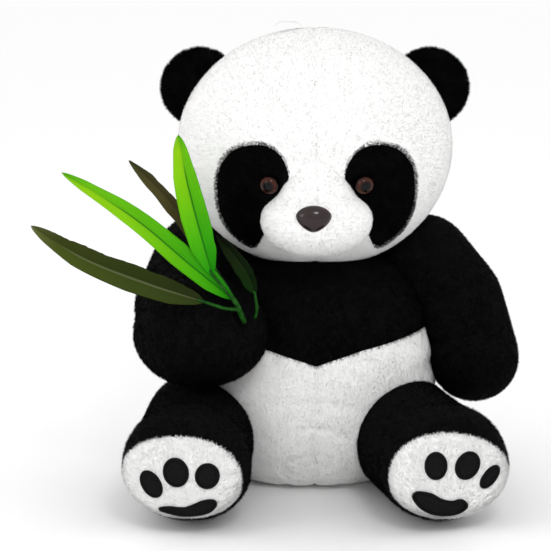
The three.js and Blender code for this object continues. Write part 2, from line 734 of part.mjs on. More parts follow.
/** A long leaf, narrow at both ends, in its own X and Y with its base at the origin. */
function leafShape(length, width) {
  const w = width / 2;
  const half = [
    [petioleWidth / 2, 0], [0.55 * w, 0.08 * length], [0.95 * w, 0.25 * length], [w, 0.42 * length],
    [0.82 * w, 0.66 * length], [0.45 * w, 0.86 * length],
  ];
  const right = half.map(([x, y]) => new THREE.Vector2(x, y));
  const left = half.map(([x, y]) => new THREE.Vector2(-x, y)).reverse();
  return new THREE.Shape([...right, new THREE.Vector2(0, length), ...left]);
}

/** Where each leaf starts and ends, from the paw's middle, and how wide it is. */
const leaves = [
  { name: 'leaf_upright', from: [10, -38, 57], to: [-17, -32, 171], width: 21, bright: true },
  { name: 'leaf_slanted', from: [-8, -44, 59], to: [-112, -34, 140], width: 25, bright: true },
  { name: 'leaf_low_olive', from: [3, -48, 35], to: [-138, -32, 96], width: 23 },
  { name: 'leaf_back_olive', from: [4, -18, 69], to: [-59, -6, 146], width: 16 },
  { name: 'leaf_inner', from: [41, -26, 37], to: [12, -26, 95], width: 12 },
];

/** A stem with side twigs, and leaves that stand off the twigs' ends. Returns the paw's slot. */
function addSprig(parent) {
  const twigTop = stemTop.clone();
  const twigs = leaves.map(({ from }) => {
    const end = new THREE.Vector3(...from).add(rightPaw);
    const along = end.clone().sub(twigTop).normalize();
    return rod(twigTop, end.addScaledVector(along, -twigGap), petioleWidth, 6);
  });
  const stem = rod(stemBase, stemTop.clone().addScaledVector(axisZ, 1), stemDiameter, 8);
  addSolid(parent, 'bamboo_stem', join([stem, ...twigs]), material(colours.stem, 0.6));
  for (const { name, from, to, width, bright } of leaves) {
    const start = new THREE.Vector3(...from).add(rightPaw);
    const along = new THREE.Vector3(...to).add(rightPaw).sub(start);
    const length = along.length();
    along.normalize();
    const facing = new THREE.Vector3(0, -1, 0);
    const side = new THREE.Vector3().crossVectors(along, facing).normalize();
    facing.crossVectors(side, along);
    const geometry = new THREE.ExtrudeGeometry(leafShape(length, width),
      { depth: leafThickness, bevelEnabled: false });
    geometry.translate(0, 0, -leafThickness / 2);
    const leaf = new THREE.Mesh(geometry,
      material(bright ? colours.brightLeaf : colours.oliveLeaf, 0.5));
    leaf.name = name;
    leaf.position.copy(start);
    leaf.quaternion.setFromRotationMatrix(
      new THREE.Matrix4().makeBasis(side, along, facing));
    parent.add(leaf);
  }
  // The slot in the paw widens upward, so that the stem can sway in it.
  const along = new THREE.Vector3().subVectors(stemTop, stemBase).normalize();
  const bottom = stemBase.clone().addScaledVector(along, -stemDiameter / 2 - jointGap);
  const narrow = stemDiameter / 2 + jointGap;
  const wide = narrow + slotDepth * Math.tan(THREE.MathUtils.degToRad(sprigSway));
  const slot = new THREE.CylinderGeometry(wide, narrow, slotDepth, 10)
    .translate(0, slotDepth / 2, 0);
  const place = new THREE.Matrix4().compose(bottom,
    new THREE.Quaternion().setFromUnitVectors(axisY, along), new THREE.Vector3(1, 1, 1));
  return solid(slot, place);
}

addTorso(panda);
addTail(panda);
addSolid(panda, 'neck_stuffing', neckBall, plush('fill'));
addHead(panda);
addHangLoop(panda);
addEar(panda, 'left');
addEar(panda, 'right');
const pawSlot = addSprig(panda);
addArm(panda, 'left');
addArm(panda, 'right', pawSlot);
addLeg(panda, 'left', -14, { x: 5, z: 3 });
addLeg(panda, 'right', 10, { x: -1, z: 1 });

export default panda;
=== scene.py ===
"""A seated plush panda that holds a sprig of bamboo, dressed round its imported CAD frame.

Metres, +Z up, the panda faces -Y, and left and right are the panda's own.
"""

import math
from contextlib import contextmanager

import bmesh
import bpy
import numpy as np
from mathutils import Matrix, Vector
from mathutils.bvhtree import BVHTree


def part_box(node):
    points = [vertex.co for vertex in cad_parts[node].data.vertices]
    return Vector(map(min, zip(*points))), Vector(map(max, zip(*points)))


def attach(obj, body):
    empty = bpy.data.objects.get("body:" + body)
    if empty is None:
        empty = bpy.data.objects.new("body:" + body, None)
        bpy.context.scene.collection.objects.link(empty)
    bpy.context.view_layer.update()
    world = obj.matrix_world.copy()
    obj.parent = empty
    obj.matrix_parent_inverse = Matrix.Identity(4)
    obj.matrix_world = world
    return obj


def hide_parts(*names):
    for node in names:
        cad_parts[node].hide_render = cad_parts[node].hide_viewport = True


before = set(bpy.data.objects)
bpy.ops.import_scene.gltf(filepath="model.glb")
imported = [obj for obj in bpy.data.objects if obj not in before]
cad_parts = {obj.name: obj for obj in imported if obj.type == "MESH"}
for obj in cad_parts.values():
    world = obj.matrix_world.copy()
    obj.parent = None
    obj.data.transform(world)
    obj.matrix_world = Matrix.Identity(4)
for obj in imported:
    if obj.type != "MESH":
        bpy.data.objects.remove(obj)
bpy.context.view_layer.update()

MM = 0.001
TAU = 2 * math.pi


# ------------------------------------------------------------------ camera, light and floor

def new_object(name, data):
    obj = bpy.data.objects.new(name, data)
    bpy.context.collection.objects.link(obj)
    return obj


def look_at(obj, target):
    direction = Vector(target) - obj.location
    obj.rotation_euler = direction.to_track_quat("-Z", "Y").to_euler()


def add_camera():
    """Looks a little down on the panda, from far enough that lines hardly converge."""
    elevation = math.radians(12)
    distance = 1.8
    target = Vector((-0.034, -0.040, 0.188))
    view_height = 0.86 * 551 * MM
    data = bpy.data.cameras.new("camera")
    data.sensor_width = 36
    data.lens = data.sensor_width * distance / view_height
    camera = new_object("camera", data)
    camera.location = target + distance * Vector((0, -math.cos(elevation), math.sin(elevation)))
    look_at(camera, target)
    bpy.context.scene.camera = camera


def add_light(name, location, size, power):
    data = bpy.data.lights.new(name, "AREA")
    data.shape = "DISK"
    data.size = size
    data.energy = power
    light = new_object(name, data)
    light.location = location
    look_at(light, (0, 0, 0.2))


def add_studio():
    """White surroundings, two soft lights and a pale floor."""
    world = bpy.data.worlds.new("studio")
    world.use_nodes = True
    background = world.node_tree.nodes["Background"]
    background.inputs["Color"].default_value = (1, 1, 1, 1)
    background.inputs["Strength"].default_value = 0.95
    bpy.context.scene.world = world
    add_light("key", (0.3, -1.7, 1.5), 0.45, 7)
    add_light("fill", (-1.5, -1.3, 0.9), 0.9, 4.5)
    bpy.context.scene.view_settings.view_transform = "Standard"
    bpy.context.scene.view_settings.exposure = 0.08

    mesh = bpy.data.meshes.new("floor")
    reach = 14
    corners = [(-reach, -reach, 0), (reach, -reach, 0), (reach, reach, 0), (-reach, reach, 0)]
    mesh.from_pydata(corners, [], [(0, 1, 2, 3)])
    mesh.materials.append(principled("floor", (0.97, 0.97, 0.97), roughness=0.9))
    new_object("floor", mesh)


# ------------------------------------------------------------------ materials

def principled(name, colour, roughness=0.5, **sockets):
    """A material with constant values on its shader's own sockets."""
    material = bpy.data.materials.new(name)
    material.use_nodes = True
    shader = material.node_tree.nodes["Principled BSDF"]
    shader.inputs["Base Color"].default_value = (*colour, 1)
    shader.inputs["Roughness"].default_value = roughness
    for socket, value in sockets.items():
        wanted = socket.replace("_", " ").title().replace("Ior", "IOR")
        if isinstance(value, tuple):
            value = (*value, 1)
        shader.inputs[wanted].default_value = value
    return material


def add_node(material, kind, **settings):
    node = material.node_tree.nodes.new(kind)
    for key, value in settings.items():
        if key in node.inputs:
            node.inputs[key].default_value = value
        else:
            setattr(node, key, value)
    return node


def link(material, output, target):
    material.node_tree.links.new(output, target)


def shader_of(material):
    return material.node_tree.nodes["Principled BSDF"]


def paint(material, colour):
    """Takes the base colour from another node."""
    link(material, colour, shader_of(material).inputs["Base Color"])


def object_noise(material, scale, detail=3):
    """Noise in the piece's own coordinates, which are metres here."""
    coordinates = add_node(material, "ShaderNodeTexCoord")
    noise = add_node(material, "ShaderNodeTexNoise", Scale=scale, Detail=detail, Roughness=0.6)
    link(material, coordinates.outputs["Object"], noise.inputs["Vector"])
    return noise.outputs["Fac"]


def ramp(material, factor, stops):
    node = add_node(material, "ShaderNodeValToRGB")
    elements = node.color_ramp.elements
    while len(elements) < len(stops):
        elements.new(0.5)
    for element, (place, colour) in zip(elements, stops):
        element.position = place
        element.color = (*colour, 1)
    link(material, factor, node.inputs["Fac"])
    return node.outputs["Color"]


def bump(material, height, strength, distance):
    node = add_node(material, "ShaderNodeBump", Strength=strength, Distance=distance)
    link(material, height, node.inputs["Height"])
    link(material, node.outputs["Normal"], shader_of(material).inputs["Normal"])


def pile_fibre(name, dark, light, roughness, specular):
    """The fibres of the pile: a colour that drifts from clump to clump, as tone on the white pile and
    as painted sheen in the lighter clumps of the black pile.
    """
    material = principled(name, light, roughness=roughness, specular_ior_level=specular)
    clumps = object_noise(material, 55, detail=5)
    # Where the pile is black, the lighter clumps from this ramp are painted sheen; on the white pile
    # they are tone.
    paint(material, ramp(material, clumps, [(0.46, dark), (0.72, light)]))
    return material


def plush_base(name, dark, light, sheen):
    """The backing cloth under the pile: mottled in clumps, with a fine bump between tufts."""
    material = principled(name, light, roughness=0.95, sheen_weight=sheen, sheen_roughness=0.5,
                          specular_ior_level=0.1)
    paint(material, ramp(material, object_noise(material, 170), [(0.3, dark), (0.7, light)]))
    bump(material, object_noise(material, 900, detail=4), 0.3, 0.0008)
    return material


def feed(material, node, values):
    """Gives a node's first inputs, in order, a link, a colour or a number each."""
    for socket, value in zip(node.inputs, values):
        if isinstance(value, bpy.types.NodeSocket):
            link(material, value, socket)
        else:
            socket.default_value = (*value, 1) if isinstance(value, tuple) else value


def calculate(material, operation, first, second=0.0):
    node = add_node(material, "ShaderNodeMath", operation=operation)
    feed(material, node, (first, second))
    return node.outputs["Value"]


def fade(material, value, start, end):
    """0 up to start, 1 from end on, in either order."""
    node = add_node(material, "ShaderNodeMapRange", interpolation_type="SMOOTHSTEP")
    node.inputs["From Min"].default_value = start
    node.inputs["From Max"].default_value = end
    link(material, value, node.inputs["Value"])
    return node.outputs["Result"]


def mixed(material, factor, first, second, blend="MIX"):
    node = add_node(material, "ShaderNodeMixRGB", blend_type=blend)
    feed(material, node, (factor, first, second))
    return node.outputs["Color"]


def eye_material():
    """A black pupil in a streaked red-brown iris, under clear plastic."""
    material = principled("safety_eye", (0.03, 0.01, 0.005), roughness=0.3, coat_weight=1.0,
                          coat_roughness=0.06, coat_ior=1.25, specular_ior_level=0.03)
    place = add_node(material, "ShaderNodeTexCoord").outputs["Object"]
    split = add_node(material, "ShaderNodeSeparateXYZ")
    link(material, place, split.inputs["Vector"])
    x, y = split.outputs["X"], split.outputs["Y"]
    squares = calculate(material, "ADD", calculate(material, "MULTIPLY", x, x),
                        calculate(material, "MULTIPLY", y, y))
    radius = calculate(material, "DIVIDE", calculate(material, "SQRT", squares), EYE_RADIUS)
    iris = ramp(material, radius, [
        (0.40, (0.0, 0.0, 0.0)), (0.54, (0.012, 0.004, 0.002)), (0.76, (0.065, 0.014, 0.006)),
        (0.90, (0.030, 0.007, 0.003)), (0.98, (0.002, 0.001, 0.001)),
    ])
    streaks = object_noise(material, 1400, detail=2)
    paint(material, mixed(material, 0.35, iris, streaks, "MULTIPLY"))
    return material


def nose_material():
    """Dark brown moulded plastic, a little mottled and worn to a soft gloss."""
    material = principled("moulded_nose", (0.04, 0.015, 0.012), roughness=0.35, coat_weight=0.9,
                          coat_roughness=0.14, coat_ior=1.4, specular_ior_level=0.1)
    paint(material, ramp(material, object_noise(material, 120), [
        (0.3, (0.009, 0.0035, 0.0038)), (0.7, (0.020, 0.007, 0.0065)),
    ]))
    bump(material, object_noise(material, 700), 0.08, 0.0003)
    return material


def mottled(name, dark, light, scale, roughness, depth, **sockets):
    """A surface whose colour and relief both wander over a length of about one over scale."""
    material = principled(name, light, roughness=roughness, **sockets)
    noise = object_noise(material, scale, detail=4)
    paint(material, ramp(material, noise, [(0.32, dark), (0.68, light)]))
    bump(material, object_noise(material, 2.3 * scale), 0.6, depth)
    return material


def ribbon_material():
    """White grosgrain: fine ribs across the ribbon."""
    material = principled("ribbon", (0.86, 0.86, 0.85), roughness=0.6, sheen_weight=0.2)
    wave = add_node(material, "ShaderNodeTexWave", bands_direction="X", Scale=420)
    coordinates = add_node(material, "ShaderNodeTexCoord")
    link(material, coordinates.outputs["Object"], wave.inputs["Vector"])
    paint(material, ramp(material, wave.outputs["Fac"], [
        (0.2, (0.72, 0.72, 0.71)), (0.8, (0.9, 0.9, 0.89)),
    ]))
    bump(material, wave.outputs["Fac"], 0.6, 0.0003)
    return material


def leaf_material(name, along, painted_half_shading, rib, rib_strength, roughness=0.42):
    """A leaf of dyed cloth: its colour along it, one half darkened by painted shading, its midrib and
    fine veins.
    """
    material = principled(name, along[0][1], roughness=roughness, specular_ior_level=0.07)
    place = add_node(material, "ShaderNodeUVMap", uv_map="leaf")
    split = add_node(material, "ShaderNodeSeparateXYZ")
    link(material, place.outputs["UV"], split.inputs["Vector"])
    across, down = split.outputs["X"], split.outputs["Y"]
    colour = ramp(material, down, along)
    # Where across > 0 the colour is multiplied darker: painted shading on one half of the folded
    # leaf.
    colour = mixed(material, fade(material, across, -0.06, 0.06), colour,
                   mixed(material, 1.0, colour, painted_half_shading, "MULTIPLY"))
    stretch = add_node(material, "ShaderNodeMapping", Scale=(16, 2.2, 1))
    link(material, place.outputs["UV"], stretch.inputs["Vector"])
    veins = add_node(material, "ShaderNodeTexNoise", Scale=3.0, Detail=4)
    link(material, stretch.outputs["Vector"], veins.inputs["Vector"])
    streak = ramp(material, veins.outputs["Fac"], [(0.3, (0.72, 0.72, 0.72)), (0.7, (1.1, 1.1, 1.1))])
    colour = mixed(material, 0.75, colour, streak, "MULTIPLY")
    closeness = fade(material, calculate(material, "ABSOLUTE", across), 0.11, 0.03)
    reach = calculate(material, "MULTIPLY", fade(material, down, 0.86, 0.66), rib_strength)
    paint(material, mixed(material, calculate(material, "MULTIPLY", closeness, reach), colour, rib))
    bump(material, veins.outputs["Fac"], 0.35, 0.0005)
    return material


def make_materials():
    return {
        "white": plush_base("white_plush", (0.90, 0.896, 0.888), (0.935, 0.932, 0.926), 0.1),
        "black": plush_base("black_plush", (0.001, 0.001, 0.0012), (0.003, 0.003, 0.0033), 0.0),
        "white_pile": pile_fibre("white_pile", (0.915, 0.912, 0.905), (0.935, 0.932, 0.926),
                                 0.95, 0.1),
        # The black pile's lighter clumps are painted sheen.
        "black_pile": pile_fibre("black_pile", (0.0004, 0.0004, 0.0005), (0.0045, 0.0045, 0.005),
                                 0.55, 0.03),
        "eye": eye_material(),
        "nose": nose_material(),
        "washer": mottled("washer", (0.5, 0.5, 0.48), (0.66, 0.66, 0.63), 300, 0.45, 0.0002),
        "felt": mottled("felt", (0.0045, 0.0045, 0.005), (0.011, 0.011, 0.0115), 900, 0.95, 0.0008,
                        specular_ior_level=0.05),
        "thread": mottled("thread", (0.001, 0.001, 0.001), (0.003, 0.003, 0.003), 1500, 0.5,
                          0.0003, specular_ior_level=0.12),
        "ribbon": ribbon_material(),
        "stem": mottled("stem", (0.003, 0.030, 0.002), (0.012, 0.10, 0.006), 260, 0.5, 0.0005,
                        specular_ior_level=0.12),
        # The third colour of each leaf multiplies one half darker as painted shading.
        "bright_leaf": leaf_material("bright_leaf", [
            (0.0, (0.008, 0.27, 0.002)), (0.3, (0.07, 0.42, 0.002)), (0.6, (0.17, 0.50, 0.002)),
            (0.85, (0.25, 0.55, 0.003)), (1.0, (0.13, 0.42, 0.006)),
        ], (0.50, 0.80, 0.9), (0.006, 0.12, 0.002), 0.85),
        "olive_leaf": leaf_material("olive_leaf", [
            (0.0, (0.022, 0.036, 0.004)), (0.4, (0.034, 0.052, 0.004)), (0.8, (0.052, 0.072, 0.007)),
            (0.95, (0.10, 0.115, 0.03)), (1.0, (0.19, 0.20, 0.12)),
        ], (0.60, 0.60, 0.5), (0.16, 0.18, 0.09), 0.4),
        "brown_leaf": leaf_material("brown_leaf", [
            (0.0, (0.050, 0.042, 0.012)), (0.6, (0.070, 0.058, 0.016)), (1.0, (0.045, 0.048, 0.012)),
        ], (0.7, 0.72, 0.7), (0.05, 0.045, 0.015), 0.4),
        # The inner leaf is a dark green of its own, darkened further towards its tip under the cheek
        # as painted shadow.
        "inner_leaf": leaf_material("inner_leaf", [
            (0.0, (0.003, 0.024, 0.001)), (0.6, (0.005, 0.014, 0.001)), (1.0, (0.003, 0.007, 0.001)),
        ], (0.6, 0.6, 0.6), (0.015, 0.035, 0.006), 0.5, roughness=0.7),
    }


# ------------------------------------------------------------------ mesh helpers

def shade_smooth(mesh, smooth=True):
    mesh.polygons.foreach_set("use_smooth", [smooth] * len(mesh.polygons))


def mesh_object(name, vertices, faces, material=None):
    mesh = bpy.data.meshes.new(name)
    mesh.from_pydata([tuple(v) for v in vertices], [], [tuple(f) for f in faces])
    mesh.update()
    shade_smooth(mesh)
    if material:
        mesh.materials.append(material)
    return new_object(name, mesh)


@contextmanager
def editing(mesh):
    """A mesh open for bmesh work, written back at the end."""
    bm = bmesh.new()
    bm.from_mesh(mesh)
    yield bm
    bm.to_mesh(mesh)
    bm.free()


def face_outward(obj):
    with editing(obj.data) as bm:
        bmesh.ops.recalc_face_normals(bm, faces=bm.faces[:])


def apply_modifiers(obj):
    """Bakes an object's modifiers into its mesh."""
    evaluated = obj.evaluated_get(bpy.context.evaluated_depsgraph_get())
    mesh = bpy.data.meshes.new_from_object(evaluated)
    obj.modifiers.clear()
    obj.data = mesh
    shade_smooth(mesh)


def points_of(obj):
    points = np.empty(len(obj.data.vertices) * 3)
    obj.data.vertices.foreach_get("co", points)
    return points.reshape(-1, 3)


def set_points(obj, points):
    obj.data.vertices.foreach_set("co", points.ravel())
    obj.data.update()


def normals_of(obj):
    normals = np.empty(len(obj.data.vertices) * 3)
    obj.data.vertices.foreach_get("normal", normals)
    return normals.reshape(-1, 3)


def unit(vectors):
    return vectors / np.maximum(np.linalg.norm(vectors, axis=-1, keepdims=True), 1e-9)


def catmull(points, steps, closed=False):
    """A smooth curve through points, as steps points from its start to its end."""
    points = np.array(points, float)
    count = len(points)
    spans = count if closed else count - 1
    result = []
    for t in np.linspace(0, spans, steps, endpoint=not closed):
        i = min(int(t), spans - 1)
        u = t - i
        picks = [i - 1, i, i + 1, i + 2]
        picks = [p % count if closed else min(max(p, 0), count - 1) for p in picks]
        a, b, c, d = points[picks]
        result.append(0.5 * (2 * b + (c - a) * u + (2 * a - 5 * b + 4 * c - d) * u ** 2
                             + (3 * b - a - 3 * c + d) * u ** 3))
    return np.array(result)


def grid_faces(rows, columns, wrap):
    """Quads between rows of points, each row closed on itself where wrap is true."""
    faces = []
    for i in range(rows - 1):
        for j in range(columns if wrap else columns - 1):
            k = (j + 1) % columns
            faces.append((i * columns + j, i * columns + k,
                          (i + 1) * columns + k, (i + 1) * columns + j))
    return faces


def add_remesh(obj, voxel):
    remesh = obj.modifiers.new("remesh", "REMESH")
    remesh.mode = "VOXEL"
    remesh.voxel_size = voxel


def add_subdivision(obj):
    surface = obj.modifiers.new("surface", "SUBSURF")
    surface.levels = surface.render_levels = 1


def blob(name, balls, voxel, smoothing, subdivide=True):
    """One soft form over a set of balls, each a centre and three radii, in metres."""
    mesh = bpy.data.meshes.new(name)
    with editing(mesh) as bm:
        for centre, radii in balls:
            for vertex in bmesh.ops.create_icosphere(bm, subdivisions=4, radius=1)["verts"]:
                vertex.co = Vector([c + r * v for c, r, v in zip(centre, radii, vertex.co)])
    obj = new_object(name, mesh)
    add_remesh(obj, voxel)
    smooth = obj.modifiers.new("smooth", "SMOOTH")
    smooth.factor = 0.5
    smooth.iterations = smoothing
    if subdivide:
        add_subdivision(obj)
    apply_modifiers(obj)
    return obj


def balls_between(start, start_radius, end, end_radius, count=8):
    """Balls that fill a tapered capsule, in metres."""
    start, end = np.array(start, float), np.array(end, float)
    balls = []
    for t in np.linspace(0, 1, count):
        radius = start_radius + (end_radius - start_radius) * t
        balls.append((start + (end - start) * t, (radius, radius, radius)))
    return balls


# ------------------------------------------------------------------ pile

def waves(points, length, seed):
    """A smooth wandering direction at each point, which changes over about one length."""
    rng = np.random.default_rng(seed)
    total = np.zeros_like(points)
    for _ in range(5):
        direction = unit(rng.normal(size=3)) * TAU / (length * rng.uniform(0.7, 1.6))
        phase = rng.uniform(0, TAU, 3)
        total += np.sin(points @ direction[:, None] + phase) * unit(rng.normal(size=3)) * 1.2
    return total / 2.2


def add_pile(name, source, count, material, body, slot, length=3.2 * MM, lean=60, width=0.5 * MM,
             comb=(0, 0, -1), keep=None, seed=1, clump=0.22, spread=0.22):
    """Short tapered tufts over a piece's surface, combed along a direction or a field."""
    mesh = source.data
    mesh.calc_loop_triangles()
    corners = np.empty(len(mesh.loop_triangles) * 3, int)
    mesh.loop_triangles.foreach_get("vertices", corners)
    corners = corners.reshape(-1, 3)
    points, normals = points_of(source), normals_of(source)
    a, b, c = (points[corners[:, k]] for k in range(3))
    areas = np.linalg.norm(np.cross(b - a, c - a), axis=1)
    rng = np.random.default_rng(seed)
    picked = rng.choice(len(corners), count, p=areas / areas.sum())
    u = np.sqrt(rng.random(count))[:, None]
    v = rng.random(count)[:, None]
    weights = [1 - u, u * (1 - v), u * v]
    roots = sum(w * points[corners[picked, k]] for k, w in enumerate(weights))
    up = unit(sum(w * normals[corners[picked, k]] for k, w in enumerate(weights)))
    if keep is not None:
        wanted = keep(roots)
        roots, up = roots[wanted], up[wanted]
    total = len(roots)
    field = comb(roots) if callable(comb) else np.broadcast_to(np.array(comb, float), roots.shape)
    field = unit(field) + clump * waves(roots, 14 * MM, seed + 7)
    field += spread * rng.normal(size=roots.shape)
    along = unit(field - (field * up).sum(1, keepdims=True) * up)
    angle = np.radians(lean + 9 * rng.normal(size=(total, 1)))
    direction = up * np.cos(angle) + along * np.sin(angle)
    size = length * rng.uniform(0.65, 1.25, (total, 1))
    side = unit(np.cross(direction, up))
    other = np.cross(direction, side)
    radius = width * rng.uniform(0.7, 1.2, (total, 1)) * 0.5
    base = roots - up * 0.4 * MM
    ring = [base + radius * (math.cos(TAU * k / 3) * side + math.sin(TAU * k / 3) * other)
            for k in range(3)]
    tip = roots + direction * size
    above = (tip[:, 2] > 0.1 * MM) & (base[:, 2] > 0.5 * MM)
    ring, tip, up, total = [r[above] for r in ring], tip[above], up[above], above.sum()
    vertices = np.stack([*ring, tip], axis=1).reshape(-1, 3)
    start = 4 * np.arange(total)[:, None]
    shape = np.array([[0, 1, 3], [1, 2, 3], [2, 0, 3], [2, 1, 0]])
    faces = (start[:, :, None] + shape[None]).reshape(-1, 3)
    pile = bpy.data.meshes.new(name)
    pile.vertices.add(len(vertices))
    pile.vertices.foreach_set("co", vertices.ravel())
    pile.loops.add(faces.size)
    pile.loops.foreach_set("vertex_index", faces.ravel())
    pile.polygons.add(len(faces))
    pile.polygons.foreach_set("loop_start", np.arange(0, faces.size, 3))
    pile.polygons.foreach_set("loop_total", np.full(len(faces), 3))
    pile.polygons.foreach_set("use_smooth", np.ones(len(faces), bool))
    pile.update(calc_edges=True)
    lit = unit(up + 0.35 * rng.normal(size=up.shape))
    pile.normals_split_custom_set_from_vertices(np.repeat(lit, 4, axis=0))
    pile.materials.append(material)
    obj = new_object(name, pile)
    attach(obj, body)


# ------------------------------------------------------------------ forms that pieces are cut from

EYE_RADIUS = 8 * MM
HEAD_RADII = np.array([118, 97, 100.5]) * MM
HEAD = np.array([0, -10, 297]) * MM
HEAD_BACK = HEAD[1] + 22 * MM
CHIN_DROP = 1.06  # how much deeper the lower half of the head is than an even ellipsoid
EYE_ACROSS = 39 * MM
EYE_UP = -20 * MM
PATCH_MIDDLE = np.array([53, -34]) * MM
PATCH_EDGE = np.array([
    [22, -15], [24, -2], [31, 9], [43, 15], [58, 14], [71, 8], [81, -6], [84, -24],
    [83, -43], [77, -61], [66, -75], [52, -82], [44, -68], [39, -52], [31, -33],
]) * MM

TORSO_PROFILE = np.array([
    [50, 0], [70, 6], [88, 21], [101, 46], [106, 74], [107, 107], [103, 143], [93, 170], [74, 190],
    [46, 203], [14, 208],
]) * MM
TORSO_DEPTH = 88 / 108
SEAT_HEIGHT = 6 * MM
CAST_FROM = 120 * MM  # how far outside a form the rays start that place a patch on it

CLOTH_PRESSURE = 4.0
CLOTH_GROWTH = 0.03
CLOTH_FRAMES = 20
CLOTH_REACH = 5 * MM  # how far the cloth may move

SHOULDER = {"left": (97, 12, 187), "right": (-97, 12, 187)}
ELBOW = {"left": (124, -2, 156), "right": (-113, -24, 156)}
HAND = {"left": (140, -16, 111), "right": (-98, -80, 150)}
FOOT_TURN = {"left": 8, "right": -8}
HIP = {"left": (73, -28, 50), "right": (-99, -28, 50)}
FOOT = {"left": (104, -158.6, 52), "right": (-106.5, -160.5, 52)}


def mm(point):
    return np.array(point, float) * MM


def low_high(*nodes):
    boxes = [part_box(node) for node in nodes]
    return np.min([b[0] for b in boxes], axis=0), np.max([b[1] for b in boxes], axis=0)


def tree_of(obj):
    """A search tree of an object's mesh, whose object stands at the origin."""
    mesh = obj.data
    return BVHTree.FromPolygons([v.co for v in mesh.vertices],
                                [p.vertices[:] for p in mesh.polygons])


def torso_form():
    profile = catmull(TORSO_PROFILE, 44)
    columns = 80
    angles = np.linspace(0, TAU, columns, endpoint=False)
    rows = []
    for radius, height in profile:
        rows.append(np.stack([radius * np.cos(angles), radius * TORSO_DEPTH * np.sin(angles),
                              np.full(columns, height)], axis=1))
    faces = grid_faces(len(rows), columns, wrap=True)
    faces.append(tuple(range(columns))[::-1])
    last = (len(rows) - 1) * columns
    faces.append(tuple(range(last, last + columns)))
    obj = mesh_object("torso_form", np.concatenate(rows), faces)
    add_remesh(obj, 5 * MM)
    apply_modifiers(obj)
    return obj


def yoke_height(points):
    """How high the black yoke's edge runs over each point."""
    return np.interp(np.abs(points[:, 0]), mm([0, 10, 39, 108]), mm([119, 122.5, 131, 143]))


def stuff(obj, seams):
    """Lets the cloth swell over its filling, held along its seams, then rounds it off."""
    rest = points_of(obj)
    group = obj.vertex_groups.new(name="seams")
    for i, weight in enumerate(np.clip(seams(rest), 0, 1)):
        group.add([i], float(weight), "REPLACE")
    modifier = obj.modifiers.new("cloth", "CLOTH")
    cloth = modifier.settings
    cloth.vertex_group_mass = "seams"
    cloth.use_pressure = True
    cloth.uniform_pressure_force = CLOTH_PRESSURE
    cloth.effector_weights.gravity = 0
    cloth.bending_stiffness = 0.3
    cloth.shrink_min = -CLOTH_GROWTH
    cloth.quality = 6
    modifier.collision_settings.use_collision = False
    modifier.point_cache.frame_start = 1
    modifier.point_cache.frame_end = CLOTH_FRAMES
    for step in range(1, CLOTH_FRAMES + 1):
        bpy.context.scene.frame_set(step)
    apply_modifiers(obj)
    bpy.context.scene.frame_set(1)
    moved = points_of(obj) - rest
    length = np.linalg.norm(moved, axis=1, keepdims=True)
    moved *= CLOTH_REACH * np.tanh(length / CLOTH_REACH) / np.maximum(length, 1e-9)
    set_points(obj, rest + moved)
    add_subdivision(obj)
    apply_modifiers(obj)
    obj.vertex_groups.clear()


def pinch(obj, depth, width, distance):
    """Sews a groove where distance, from each point to a seam, is small."""
    points, normals = points_of(obj), normals_of(obj)
    groove = depth * np.exp(-(distance(points) / width) ** 2)
    set_points(obj, points - normals * groove[:, None])


def drawn_in(tree, middle, edge, origin, across, up, inward, deepest):
    """A flat outline, drawn in wherever it would be cast deeper than allowed, or past the form."""
    fitted = []
    for point in edge:
        for share in np.arange(1, 0.7, -0.01):
            flat = middle + (point - middle) * share
            start = origin + across * flat[0] + up * flat[1] - inward * 60 * MM
            place = tree.ray_cast(Vector(start), Vector(inward))[0]
            if place is not None and (np.array(place) - origin) @ inward < deepest:
                break
        fitted.append(flat)
    return np.array(fitted)


def drape(name, tree, middle, edge, origin, across, up, inward, lift, rim, rings, material,
          thick=0.0):
    """A patch over a surface: its flat outline is cast inward and stands off by lift."""
    rows = []
    for i in range(rings + 1):
        share = 1 - i / rings * 0.999
        flat = middle + (edge - middle) * share
        height = lift * (1 - share ** 8) + rim * share ** 8
        row = []
        for u, v in flat:
            start = Vector(origin + across * u + up * v - inward * CAST_FROM)
            hit = tree.ray_cast(start, Vector(inward))[0]
            if hit is None:
                hit = tree.find_nearest(start + Vector(inward) * CAST_FROM)[0]
            row.append(np.array(hit) - inward * height)
        rows.append(np.array(row))
    if thick:
        rows.insert(0, rows[0] + inward * thick)
    count = len(edge)
    vertices = np.concatenate(rows)
    faces = grid_faces(len(rows), count, wrap=True)
    faces.append(tuple(range((len(rows) - 1) * count, len(rows) * count)))
    obj = mesh_object(name, vertices, faces, material)
    with editing(obj.data) as bm:
        total = sum((f.normal * f.calc_area() for f in bm.faces), Vector())
        if total.dot(-Vector(inward)) < 0:
            bmesh.ops.reverse_faces(bm, faces=bm.faces[:])
    return obj


# ------------------------------------------------------------------ finishing a piece

def settle(piece, body, nodes=()):
    """Ties a piece to its body and the CAD nodes that it stands for."""
    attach(piece, body)
    if nodes:
        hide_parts(*nodes)


def carry_over(node, key):
    """Shows a CAD node as it is, in a material of its own."""
    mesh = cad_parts[node].data
    mesh.materials.clear()
    mesh.materials.append(MATERIALS[key])


def plush(piece, colour, body, nodes=(), fill=None, tufts=0, **pile):
    """Finishes a plush piece and grows its pile, which lies flatter where it is white."""
    if colour == "white":
        pile = {"lean": 75, "length": 2.3 * MM, "width": 0.6 * MM, "clump": 0.12, "spread": 0.16,
                **pile}
    piece.data.materials.clear()
    piece.data.materials.append(MATERIALS[colour])
    settle(piece, body, nodes)
    if tufts:
        add_pile(f"{piece.name}_pile", piece, tufts, MATERIALS[f"{colour}_pile"], body,
                 f"{colour}_plush", **pile)


